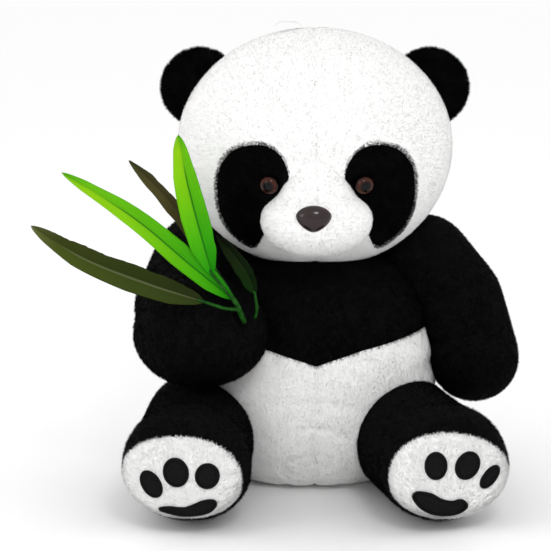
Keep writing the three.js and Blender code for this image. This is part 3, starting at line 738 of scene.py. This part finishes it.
def split_off(source, name, wanted, line=None):
    """A copy of the faces whose middles are wanted, its rim drawn onto the line's height."""
    centres = np.array([polygon.center for polygon in source.data.polygons])
    picked = wanted(centres)
    copy = new_object(name, source.data.copy())
    with editing(copy.data) as bm:
        bmesh.ops.delete(bm, geom=[f for f, p in zip(bm.faces, picked) if not p],
                         context="FACES")
        if line:
            rim = {vertex for edge in bm.edges if edge.is_boundary for vertex in edge.verts}
            for vertex in rim:
                height = line(np.array([vertex.co]))[0]
                if abs(vertex.co.z - height) < 3.5 * MM:
                    vertex.co.z = height
    return copy


# ------------------------------------------------------------------ head

def head_form():
    """The stuffed head: nearly an ellipsoid, pulled in along its seams and round the eyes."""
    mesh = bpy.data.meshes.new("head_form")
    with editing(mesh) as bm:
        bmesh.ops.create_cube(bm, size=2)
        bmesh.ops.subdivide_edges(bm, edges=bm.edges[:], cuts=55, use_grid_fill=True)
    obj = new_object("head_form", mesh)
    points = points_of(obj)
    ball = unit(np.tan(points * math.pi / 4))
    chin = np.ones(ball.shape)
    chin[ball[:, 2] < 0, 2] = CHIN_DROP
    placed = HEAD + ball * HEAD_RADII * chin
    inward = -unit(ball / HEAD_RADII)
    front = ball[:, 1] < 0
    depth = 1.1 * MM * np.exp(-(placed[:, 0] / (2.4 * MM)) ** 2) * (ball[:, 1] < 0.22)
    depth += 1.8 * MM * np.exp(-(placed[:, 0] / (13 * MM)) ** 2) * np.clip(-ball[:, 1], 0, 1)
    depth += 1.2 * MM * np.exp(-((placed[:, 1] - HEAD_BACK) / (2.6 * MM)) ** 2)
    for sign in (1, -1):
        eye = np.hypot(placed[:, 0] - sign * EYE_ACROSS, placed[:, 2] - HEAD[2] - EYE_UP)
        depth += 3.0 * MM * np.exp(-(eye / (12 * MM)) ** 2) * front
    muzzle = np.hypot(placed[:, 0] / 56, (placed[:, 2] - 0.250) / 46) / MM
    depth += 2.5 * MM * np.exp(-((muzzle - 1) / 0.25) ** 2) * front
    set_points(obj, placed + inward * depth[:, None])
    return obj


def in_patch(points, sign, shrink=0.0):
    """Which points lie over the eye patch on one side, when seen from the front."""
    edge = catmull(PATCH_EDGE, 90, closed=True) - PATCH_MIDDLE
    angles = np.arctan2(edge[:, 1], edge[:, 0])
    order = np.argsort(angles)
    reach = np.hypot(edge[:, 0], edge[:, 1])[order]
    x = sign * points[:, 0] - PATCH_MIDDLE[0]
    z = points[:, 2] - HEAD[2] - PATCH_MIDDLE[1]
    limit = np.interp(np.arctan2(z, x), angles[order], reach, period=TAU)
    return (np.hypot(x, z) < limit - shrink) & (points[:, 1] < HEAD[1])


def face_comb(points):
    """Pile on the head runs away from the muzzle."""
    away = points - (HEAD + mm([0, -110, -40]))
    away[:, 2] -= 0.02
    return away


def clear_of_eyes(points):
    """No tuft grows under an eye's dome."""
    distance = [np.hypot(points[:, 0] - sign * EYE_ACROSS, points[:, 2] - HEAD[2] - EYE_UP)
                for sign in (1, -1)]
    return (np.minimum(*distance) > 7.6 * MM) | (points[:, 1] > HEAD[1])


def add_head():
    whole = head_form()
    tree = tree_of(whole)
    pieces = [
        ("head_left", lambda p: (p[:, 0] > 0) & (p[:, 1] < HEAD_BACK), ("head_panel_left",)),
        ("head_right", lambda p: (p[:, 0] < 0) & (p[:, 1] < HEAD_BACK), ("head_panel_right",)),
        ("head_back", lambda p: p[:, 1] >= HEAD_BACK, ("head_back_panel", "head_stuffing")),
    ]
    for i, (name, wanted, nodes) in enumerate(pieces):
        piece = split_off(whole, name, wanted)
        plush(piece, "white", "head", nodes, fill=0.9, tufts=44000, seed=11 + i, comb=face_comb,
              keep=lambda p: ~(in_patch(p, 1, -1.2 * MM) | in_patch(p, -1, -1.2 * MM)))
    for sign, side in ((1, "left"), (-1, "right")):
        edge = catmull(PATCH_EDGE, 96, closed=True)
        patch = drape(f"patch_{side}", tree, PATCH_MIDDLE, edge, HEAD * (1, 0, 1),
                      mm([1000 * sign, 0, 0]), mm([0, 0, 1000]), mm([0, 1000, 0]), 1.2 * MM,
                      -0.6 * MM, 26, MATERIALS["black"])
        plush(patch, "black", "head", (f"eye_patch_{side}",), tufts=20000, seed=31 + sign,
              comb=face_comb, keep=clear_of_eyes, length=2.6 * MM, clump=0.5)
        add_eye(sign, side)
    add_muzzle()
    add_nose()
    add_hang_loop()
    bpy.data.objects.remove(whole)


def add_muzzle():
    muzzle = blob("muzzle", [
        (mm([0, -92, 246]), mm([47, 40, 30])),
        (mm([0, -89, 266]), mm([33, 32, 28])),
        (mm([0, -88, 276]), mm([24, 26, 27])),
    ], voxel=3 * MM, smoothing=12)
    pinch(muzzle, 0.9 * MM, 1.6 * MM,
          lambda p: np.where(p[:, 2] > 0.262, np.abs(p[:, 0]), 1.0))
    plush(muzzle, "white", "head", ("muzzle_skin", "muzzle_stuffing"), fill=0.9, tufts=24000,
          seed=41, comb=lambda p: p - mm([0, -150, 262]), length=2.2 * MM,
          keep=lambda p: np.hypot((p[:, 0] + 0.003) / 12.5, (p[:, 2] - 0.254) / 9.5) / MM > 1)


def add_eye(sign, side):
    """A domed safety eye, built round its own axis."""
    x, z = sign * EYE_ACROSS, HEAD[2] + EYE_UP
    outward = (np.array([x, 0, z]) - HEAD * (1, 0, 1)) / HEAD_RADII ** 2
    drop = 1 - (x / HEAD_RADII[0]) ** 2 - ((z - HEAD[2]) / HEAD_RADII[2]) ** 2
    y = HEAD[1] - HEAD_RADII[1] * math.sqrt(drop)
    outward[1] = (y - HEAD[1]) / HEAD_RADII[1] ** 2
    outward = unit(outward)
    bulge = 6.2 * MM
    angles = np.linspace(0, TAU, 48, endpoint=False)
    rows = [np.stack([EYE_RADIUS * np.cos(angles), EYE_RADIUS * np.sin(angles),
                      np.full(48, -3 * MM)], axis=1)]
    for turn in np.linspace(0, 0.97, 18) * math.pi / 2:
        reach = EYE_RADIUS * math.cos(turn)
        rows.append(np.stack([reach * np.cos(angles), reach * np.sin(angles),
                              np.full(48, bulge * math.sin(turn))], axis=1))
    faces = grid_faces(len(rows), 48, wrap=True)
    last = (len(rows) - 1) * 48
    faces.append(tuple(range(last, last + 48)))
    faces.append(tuple(range(48))[::-1])
    eye = mesh_object(f"eye_{side}_dome", np.concatenate(rows), faces, MATERIALS["eye"])
    eye.matrix_world = Matrix.Translation(Vector((x, y, z))) @ \
        Vector(outward).to_track_quat("Z", "Y").to_matrix().to_4x4()
    bpy.context.view_layer.update()
    settle(eye, "head", (f"eye_{side}",))
    carry_over(f"eye_{side}_washer", "washer")


def add_nose():
    """A rounded triangle with its corners level, domed towards the front."""
    outline = catmull(mm([
        [-14.6, 1.8], [-12.2, 6.6], [-6.5, 10], [0, 11], [6.5, 10], [12.2, 6.6], [14.6, 1.8],
        [11.4, -4.6], [5.4, -9.6], [0, -11.2], [-5.4, -9.6], [-11.4, -4.6],
    ]), 64, closed=True)
    seat = mm([-3, -127, 254])
    rows = []
    for share, forward in [(0.82, 0), (0.97, 0.8), (1.0, 2.4)] + \
            [(math.cos(t), 2.4 + 7.4 * math.sin(t)) for t in np.linspace(0.15, 1.52, 16)]:
        rows.append(seat + np.stack([outline[:, 0] * share, np.full(64, -forward * MM),
                                     outline[:, 1] * share], axis=1))
    faces = grid_faces(len(rows), 64, wrap=True)
    faces.append(tuple(range(64))[::-1])
    faces.append(tuple(range((len(rows) - 1) * 64, len(rows) * 64)))
    nose = mesh_object("nose_cap", np.concatenate(rows), faces, MATERIALS["nose"])
    face_outward(nose)
    settle(nose, "head", ("nose",))
    carry_over("nose_washer", "washer")


def add_hang_loop():
    """A flat loop of ribbon, folded over and sewn down at both ends."""
    low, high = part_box("hang_loop")
    middle = (low + high) / 2
    across = np.linspace(-1, 1, 25)
    rise = (1 - across ** 4) * 3.6 * MM
    rows = []
    for dy, dz in ((-4.5, 0), (-4.5, 0.8), (4.5, 0.8), (4.5, 0)):
        rows.append(np.stack([middle.x + across * 11.5 * MM,
                              np.full(25, middle.y + dy * MM),
                              high.z - 4.2 * MM + rise + dz * MM], axis=1))
    stacked = np.stack(rows, axis=1).reshape(-1, 3)
    faces = grid_faces(25, 4, wrap=True)
    faces += [(0, 1, 2, 3), (99, 98, 97, 96)]
    loop = mesh_object("ribbon_loop", stacked, faces, MATERIALS["ribbon"])
    shade_smooth(loop.data, False)
    settle(loop, "head", ("hang_loop",))


def add_ear(side):
    sign = 1 if side == "left" else -1
    low, high = low_high(f"ear_front_{side}", f"ear_back_{side}")
    outer = sign * max(abs(low[0]), abs(high[0]))
    centre = np.array([outer - sign * 39 * MM, (low[1] + high[1]) / 2, high[2] - 40 * MM])
    ear = blob(f"ear_{side}_form", [
        (centre, mm([34, 13, 34])),
        (centre + mm([-sign * 14, 0, -10]), mm([28, 12, 28])),
    ], voxel=3 * MM, smoothing=8)
    points = points_of(ear)
    flat = np.hypot(points[:, 0] - centre[0], points[:, 2] - centre[2])
    cup = 4.5 * MM * np.exp(-(flat / (18 * MM)) ** 2) * (points[:, 1] < centre[1])
    points[:, 1] += cup
    set_points(ear, points)
    seam_y = centre[1]
    pinch(ear, 0.8 * MM, 1.6 * MM, lambda p: np.abs(p[:, 1] - seam_y))
    body = f"ear_{side}"
    comb = lambda p: p - centre + mm([0, 0, 8])
    front = split_off(ear, f"ear_{side}_front", lambda p: p[:, 1] < seam_y)
    back = split_off(ear, f"ear_{side}_back", lambda p: p[:, 1] >= seam_y)
    plush(front, "black", body, (f"ear_front_{side}", f"ear_stuffing_{side}"), fill=0.5,
          tufts=15000, seed=51 + sign, comb=comb, lean=48, length=4 * MM, clump=0.5)
    plush(back, "black", body, (f"ear_back_{side}",), fill=0.5, tufts=15000, seed=55 + sign,
          comb=comb, lean=48, length=4 * MM, clump=0.5)
    bpy.data.objects.remove(ear)


# ------------------------------------------------------------------ torso and tail

def add_torso():
    """The torso in its six panels, sewn along the yoke, the sides and the belly."""
    form = torso_form()

    def seams(p):
        near = np.minimum(np.abs(p[:, 2] - yoke_height(p)), np.abs(p[:, 1]))
        belly = np.where((p[:, 2] < yoke_height(p)) & (p[:, 1] < 0), np.abs(p[:, 0]), 1)
        return np.exp(-(np.minimum(near, belly) / (4 * MM)) ** 2)

    stuff(form, seams)
    pinch(form, 1.4 * MM, 2.2 * MM, lambda p: np.where(
        (p[:, 2] < yoke_height(p)) & (p[:, 1] < 0), np.abs(p[:, 0]), 1))
    pinch(form, 1.2 * MM, 2.4 * MM, lambda p: np.abs(p[:, 1]))
    below = lambda p: p[:, 2] < yoke_height(p)
    seat = lambda p: p[:, 2] < SEAT_HEIGHT
    pieces = [
        ("chest", "black", lambda p: ~below(p) & (p[:, 1] < 0),
         ("chest_panel", "torso_stuffing"), 34000),
        ("upper_back", "black", lambda p: ~below(p) & (p[:, 1] >= 0), ("upper_back_panel",), 34000),
        ("belly_left", "white", lambda p: below(p) & ~seat(p) & (p[:, 1] < 0) & (p[:, 0] > 0),
         ("belly_panel_left",), 26000),
        ("belly_right", "white", lambda p: below(p) & ~seat(p) & (p[:, 1] < 0) & (p[:, 0] <= 0),
         ("belly_panel_right",), 26000),
        ("lower_back", "white", lambda p: below(p) & ~seat(p) & (p[:, 1] >= 0),
         ("lower_back_panel",), 44000),
        ("seat", "white", seat, ("seat_panel",), 0),
    ]
    for i, (name, colour, wanted, nodes, tufts) in enumerate(pieces):
        piece = split_off(form, f"{name}_cover", wanted, line=yoke_height)
        plush(piece, colour, "torso", nodes, fill=0.9, tufts=tufts, seed=61 + i,
              comb=(0, 0, -1))
    bpy.data.objects.remove(form)


def add_neck():
    neck = blob("neck_cover", [(mm([0, 0, 205]), mm([50, 44, 36]))], voxel=5 * MM, smoothing=2)
    plush(neck, "black", "neck", ("neck_stuffing",), fill=0.8, tufts=9000, seed=71,
          comb=(0, 0, -1))


def add_tail():
    tail = blob("tail_cover", [(mm([0, 88, 42]), mm([20, 20, 19]))], voxel=2.5 * MM, smoothing=3)
    plush(tail, "white", "torso", ("tail_skin", "tail_stuffing"), fill=0.8, tufts=8000, seed=75,
          comb=lambda p: p - mm([0, 60, 42]), lean=50)


# ------------------------------------------------------------------ arms and legs

def add_arm_left():
    """Hangs at the side, with a crease at the wrist."""
    balls = balls_between(mm(SHOULDER["left"]), 0.042, mm(ELBOW["left"]), 0.041)
    balls += balls_between(mm(ELBOW["left"]), 0.041, mm(HAND["left"]), 0.038)
    arm = blob("arm_left_cover", balls, voxel=5 * MM, smoothing=6, subdivide=False)
    crease = lambda p: np.abs((p - mm([134, -12, 128])) @ unit(np.array([0.25, -0.25, -1.0])))
    stuff(arm, lambda p: np.exp(-(crease(p) / (4 * MM)) ** 2) * (p[:, 0] < 0.150))
    pinch(arm, 2.2 * MM, 4 * MM, lambda p: np.where(p[:, 0] < 0.152, crease(p), 1))
    plush(arm, "black", "arm_left", ("arm_skin_left", "arm_stuffing_left"), fill=0.8,
          tufts=46000, seed=81, comb=(0.3, -0.2, -1))


def add_arm_right():
    """Bent forward, its paw sunken where the bamboo is held."""
    balls = balls_between(mm(SHOULDER["right"]), 0.043, mm(ELBOW["right"]), 0.042)
    balls += balls_between(mm(ELBOW["right"]), 0.042, mm(HAND["right"]), 0.040)
    balls.append((mm([-96, -86, 149]), mm([56, 45, 46])))
    arm = blob("arm_right_cover", balls, voxel=5 * MM, smoothing=6, subdivide=False)
    stuff(arm, lambda p: np.exp(-(np.hypot(p[:, 0] + 0.058, p[:, 1] + 0.112) / (9 * MM)) ** 2))
    pinch(arm, 7 * MM, 9 * MM, lambda p: np.where(
        p[:, 2] > 0.15, np.hypot(p[:, 0] + 0.062, p[:, 1] + 0.112), 1))
    plush(arm, "black", "arm_right", ("arm_skin_right", "arm_stuffing_right"), fill=0.8,
          tufts=49000, seed=83, comb=lambda p: mm([-60, -150, 60]) - p)


# Each toe: its middle across and up from the foot's, its half width and height, and its tilt.
TOES = {
    "right": [(-24.4, -5.7, 7.0, 11.2, 30), (-4.0, 5.0, 9.4, 11.2, 8), (21.6, 3.0, 8.8, 9.8, -20)],
    "left": [(-12.8, 10.6, 8.2, 10.6, 5), (13.2, 9.8, 8.8, 11.0, -25), (32.0, -0.6, 4.8, 10.2, -38)],
}
HEELS = {
    "right": [(-18, -26.7), (-10, -24.8), (-2, -25.2), (4, -24.8), (10.5, -22), (17.5, -18.7),
              (24.6, -17.3), (28.4, -19.1), (26.4, -24), (21.5, -28), (12, -30.6), (0, -31.2),
              (-10, -29.4)],
    "left": [(-31, -15), (-28.6, -11.2), (-22.3, -11.6), (-16, -13.4), (-9.5, -17.4), (-3.2, -19.8),
             (2.4, -20.2), (8, -19), (12.8, -22.4), (12, -26.4), (4.8, -30.5), (-4.8, -31.4),
             (-15, -29.7), (-24.6, -24)],
}
# The sole: its middle across and up, its half width and height, and its tilt.
SOLE_SHAPE = {
    "right": (-1.5, -2.5, 49.5, 36.5, 2),
    "left": (1, -2.5, 50, 38.5, -10),
}


def turned_outline(middle, x, y, tilt):
    """Points across and up from a middle, turned by a tilt in degrees."""
    lean = math.radians(tilt)
    return np.stack([middle[0] + x * math.cos(lean) - y * math.sin(lean),
                     middle[1] + x * math.sin(lean) + y * math.cos(lean)], axis=1) * MM


def rounded(values, power=0.92):
    """Sines or cosines, flattened a little towards those of a square."""
    return np.sign(values) * np.abs(values) ** power


def add_leg(side):
    """A stuffed leg, its white sole and the felt pads sewn to it."""
    turn = math.radians(FOOT_TURN[side])
    outward = np.array([math.sin(turn), -math.cos(turn), 0])
    across = np.array([math.cos(turn), math.sin(turn), 0])
    up = np.array([0, 0, 1.0])
    foot = mm(FOOT[side])
    plane = foot + outward * 14 * MM
    balls = balls_between(mm(HIP[side]), 0.048, foot - outward * 0.006, 0.048, count=10)
    balls.append((foot + mm([0, 0, 1]), mm([52.5, 50, 52])))
    leg = blob(f"leg_{side}_cover", balls, voxel=5 * MM, smoothing=6, subdivide=False)
    points = points_of(leg)
    beyond = (points - plane) @ outward + 5 * MM
    dome = 15 * MM
    points -= outward * np.where(beyond > 0, beyond - dome * np.tanh(beyond / dome), 0)[:, None]
    front = np.clip(((points - plane) @ outward + 55 * MM) / (55 * MM), 0, 1)
    low = np.clip(foot[2] - points[:, 2], 0, 1)
    points[:, 2] += low * 0.25 * front ** 2
    set_points(leg, points)
    stuff(leg, lambda p: (((p - plane) @ outward) > -9 * MM).astype(float))
    points = points_of(leg)
    points[:, 2] = np.maximum(points[:, 2], 0.6 * MM)
    set_points(leg, points)
    tree = tree_of(leg)
    dx, dz, half_width, half_height, tilt = SOLE_SHAPE[side]
    angles = np.linspace(0, TAU, 96, endpoint=False)
    edge = turned_outline((dx, dz), rounded(np.cos(angles)) * half_width,
                          rounded(np.sin(angles)) * half_height, tilt)
    middle = np.array([dx, dz]) * MM
    edge = drawn_in(tree, middle, edge, plane, across, up, -outward, 22 * MM)
    sole = drape(f"sole_{side}_cover", tree, middle, edge, plane, across, up, -outward, 2.2 * MM,
                 0.2 * MM, 24, MATERIALS["white"])
    inside_sole = outline_test(edge)

    def on_sole(p):
        flat = np.stack([(p - plane) @ across, (p - plane) @ up], axis=1)
        return inside_sole(flat) & (((p - plane) @ outward) > -20 * MM)

    plush(leg, "black", f"leg_{side}", (f"leg_skin_{side}", f"leg_stuffing_{side}"), fill=0.85,
          tufts=49000, seed=91, comb=lambda p: np.broadcast_to(outward + (0, 0, -0.25), p.shape),
          keep=lambda p: ~on_sole(p))
    pads = []
    for i, (u, v, half_u, half_v, tilt) in enumerate(TOES[side]):
        pad = turned_outline((u, v), half_u * np.cos(angles[::2]), half_v * np.sin(angles[::2]),
                             tilt)
        pads.append((f"toe_pad_{side}_{i + 1}", np.array([u, v]) * MM, pad))
    heel = catmull(mm([(u, v, 0) for u, v in HEELS[side]])[:, :2], 64, closed=True)
    pads.append((f"heel_pad_{side}", heel.mean(axis=0), heel))
    tests = [outline_test(pad) for _, _, pad in pads]

    def off_pads(p):
        flat = np.stack([(p - plane) @ across, (p - plane) @ up], axis=1)
        return ~np.any([test(flat) for test in tests], axis=0)

    plush(sole, "white", f"leg_{side}", (f"sole_{side}",), tufts=17000, seed=95,
          comb=lambda p: p - plane + mm([0, 0, 60]), length=2.4 * MM, keep=off_pads, lean=66)
    sole_tree = tree_of(sole)
    for name, centre, pad in pads:
        felt = drape(f"{name}_felt", sole_tree, centre, pad, plane, across, up, -outward,
                     1.9 * MM, 1.1 * MM, 8, MATERIALS["felt"], thick=1.8 * MM)
        settle(felt, f"leg_{side}", (name,))
        add_stitching(f"{name}_stitching", sole_tree, pad, plane, across, up, outward,
                      f"leg_{side}")


def outline_test(edge):
    """A test of which flat points lie inside a closed outline."""
    def inside(flat):
        result = np.zeros(len(flat), bool)
        x, y = flat[:, 0], flat[:, 1]
        for (x0, y0), (x1, y1) in zip(edge, np.roll(edge, -1, axis=0)):
            crosses = (y0 > y) != (y1 > y)
            if y1 != y0:
                result ^= crosses & (x < (x1 - x0) * (y - y0) / (y1 - y0) + x0)
        return result
    return inside


def add_stitching(name, tree, edge, origin, across, up, outward, body):
    """A row of close satin stitches over a felt pad's edge."""
    steps = np.linalg.norm(np.roll(edge, -1, axis=0) - edge, axis=1)
    total = steps.sum()
    places = np.concatenate([[0], np.cumsum(steps)])
    closed = np.vstack([edge, edge[:1]])
    count = int(total / (0.75 * MM))
    vertices, faces = [], []
    for k in range(count):
        at = total * k / count
        point = np.array([np.interp(at, places, closed[:, i]) for i in (0, 1)])
        after = np.array([np.interp((at + 0.5 * MM) % total, places, closed[:, i])
                          for i in (0, 1)])
        tangent = unit(after - point)
        normal = np.array([tangent[1], -tangent[0]])
        hit = tree.ray_cast(Vector(origin + across * point[0] + up * point[1] + outward * 0.1),
                            Vector(-outward))[0]
        if hit is None:
            continue
        middle = np.array(hit) + outward * 1.4 * MM
        along = across * normal[0] + up * normal[1]
        side = across * tangent[0] + up * tangent[1]
        start = len(vertices)
        ring = 6
        for reach, high in ((-1.25, 0.15), (-0.8, 0.62), (0, 0.8), (0.8, 0.3), (1.25, -0.9)):
            for j in range(ring):
                a = TAU * j / ring
                vertices.append(middle + along * reach * MM + outward * high * MM
                                + 0.42 * MM * (math.cos(a) * side + math.sin(a) * outward))
        for i in range(4):
            for j in range(ring):
                n = (j + 1) % ring
                faces.append((start + i * ring + j, start + i * ring + n,
                              start + (i + 1) * ring + n, start + (i + 1) * ring + j))
        faces.append(tuple(start + j for j in range(ring))[::-1])
        faces.append(tuple(start + 4 * ring + j for j in range(ring)))
    obj = mesh_object(name, vertices, faces, MATERIALS["thread"])
    face_outward(obj)
    settle(obj, body)


# ------------------------------------------------------------------ bamboo

LEAVES = {
    "leaf_upright": dict(path=[(-86, -124, 207), (-96, -127, 245), (-106, -125, 285),
                               (-113, -118, 321)], width=24, look="bright", turn=12),
    "leaf_slanted": dict(path=[(-70, -117, 185), (-104, -124, 215), (-150, -123, 254),
                               (-208, -117, 290)], width=20, look="bright", turn=-18),
    "leaf_low_olive": dict(path=[(-93, -137, 187), (-138, -143, 203), (-190, -134, 222),
                                 (-234, -118, 246)], width=23, look="olive", turn=-14),
    "leaf_back_olive": dict(path=[(-92, -104, 219), (-112, -104, 252), (-134, -98, 277),
                                  (-155, -92, 296)], width=14, look="brown", turn=20),
    "leaf_inner": dict(path=[(-51, -113, 188), (-58, -117, 206), (-69, -117, 222),
                             (-83, -112, 238)], width=14, look="inner", turn=10),
}
SPRIG_FORK = (-64, -118, 176)
INNER_TWIG_FOOT = (-54, -99, 160)


def add_leaf(name, path, width, look, turn):
    """A pleated leaf: a sunken midrib, two cupped halves and a slightly wavy edge."""
    rows, columns = 64, 13
    line = catmull(mm(path), rows)
    tangent = unit(np.gradient(line, axis=0))
    facing = np.broadcast_to(np.array([0, -1.0, 0]), line.shape)
    side = unit(np.cross(tangent, facing))
    facing = np.cross(side, tangent)
    roll = math.radians(turn)
    side, facing = (side * math.cos(roll) + facing * math.sin(roll),
                    facing * math.cos(roll) - side * math.sin(roll))
    along = np.linspace(0, 1, rows)
    swell = np.interp(along, [0, 0.06, 0.2, 0.42, 0.7, 0.88, 0.97, 1],
                      [0.12, 0.38, 0.86, 1.0, 0.82, 0.45, 0.16, 0.02])
    half = width * MM / 2 * swell
    rng = np.random.default_rng(len(name) * 7 + int(width))
    ragged = 0.03 if look == "bright" else 0.10
    notch = np.convolve(rng.normal(size=rows + 4), np.ones(5) / 5, "valid") * ragged
    across = np.linspace(-1, 1, columns)
    top = []
    for i in range(rows):
        reach = half[i] * (across + notch[i] * (across > 0.6) * across)
        fold = np.abs(across) * half[i] * 0.34 - 0.6 * MM * np.exp(-(across / 0.12) ** 2)
        wave = 0.5 * MM * math.sin(along[i] * 21 + width) * across ** 3
        top.append(line[i] + np.outer(reach, side[i]) + np.outer(fold + wave, facing[i]))
    top = np.array(top)
    under = top - facing[:, None, :] * 0.7 * MM
    count = rows * columns
    faces = grid_faces(rows, columns, wrap=False)
    faces += [tuple(count + v for v in face[::-1]) for face in faces]
    rim = [i * columns for i in range(rows)]
    rim += [(rows - 1) * columns + j for j in range(1, columns)]
    rim += [i * columns + columns - 1 for i in range(rows - 2, -1, -1)]
    rim += [j for j in range(columns - 2, 0, -1)]
    for a, b in zip(rim, rim[1:] + rim[:1]):
        faces.append((a, b, count + b, count + a))
    vertices = np.concatenate([top.reshape(-1, 3), under.reshape(-1, 3)])
    leaf = mesh_object(f"{name}_blade", vertices, faces)
    face_outward(leaf)
    layer = leaf.data.uv_layers.new(name="leaf")
    u = np.tile(across, rows)
    v = np.repeat(along, columns)
    loops = np.empty(len(leaf.data.loops), int)
    leaf.data.loops.foreach_get("vertex_index", loops)
    loops %= count
    layer.data.foreach_set("uv", np.stack([u[loops], v[loops]], axis=1).ravel())
    leaf.data.materials.append(MATERIALS[f"{look}_leaf"])
    settle(leaf, "sprig", (name,))


def tube(name, path, radii, steps=28):
    """A round stalk along a smooth path, with radii spread evenly along it."""
    sides = 12
    line = catmull(mm(path), steps)
    tangent = unit(np.gradient(line, axis=0))
    side = unit(np.cross(tangent, np.array([0, -1.0, 0.001])))
    other = np.cross(tangent, side)
    size = np.interp(np.linspace(0, 1, steps), np.linspace(0, 1, len(radii)), radii) * MM
    rows = []
    for k in range(steps):
        angles = np.linspace(0, TAU, sides, endpoint=False)
        rows.append(line[k] + size[k] * (np.outer(np.cos(angles), side[k])
                                         + np.outer(np.sin(angles), other[k])))
    faces = grid_faces(steps, sides, wrap=True)
    faces.append(tuple(range(sides))[::-1])
    faces.append(tuple(range((steps - 1) * sides, steps * sides)))
    obj = mesh_object(name, np.concatenate(rows), faces, MATERIALS["stem"])
    face_outward(obj)
    return obj


def add_sprig():
    """The stem out of the paw, a twig to each leaf, and the leaves."""
    stem = tube("stem_stalk", [(-58, -94, 146), (-60, -108, 162), SPRIG_FORK, (-68, -121, 186)],
                [2.3, 2.3, 2.2, 1.4])
    settle(stem, "sprig", ("bamboo_stem",))
    for name, leaf in LEAVES.items():
        start = np.array(INNER_TWIG_FOOT if name == "leaf_inner" else SPRIG_FORK, float)
        end, inside = np.array(leaf["path"][:2], float)
        bend = (start + end) / 2 + np.array([3, -2, -2])
        twig = tube(f"{name}_twig", [start, bend, end, end + (inside - end) * 0.1],
                    [1.7, 1.3, 1.2, 0.8], steps=22)
        settle(twig, "sprig")
        add_leaf(name, **leaf)


# ------------------------------------------------------------------ assembly

MATERIALS = make_materials()
add_camera()
add_studio()
add_torso()
add_neck()
add_tail()
add_head()
add_ear("left")
add_ear("right")
add_arm_left()
add_arm_right()
add_leg("left")
add_leg("right")
add_sprig()
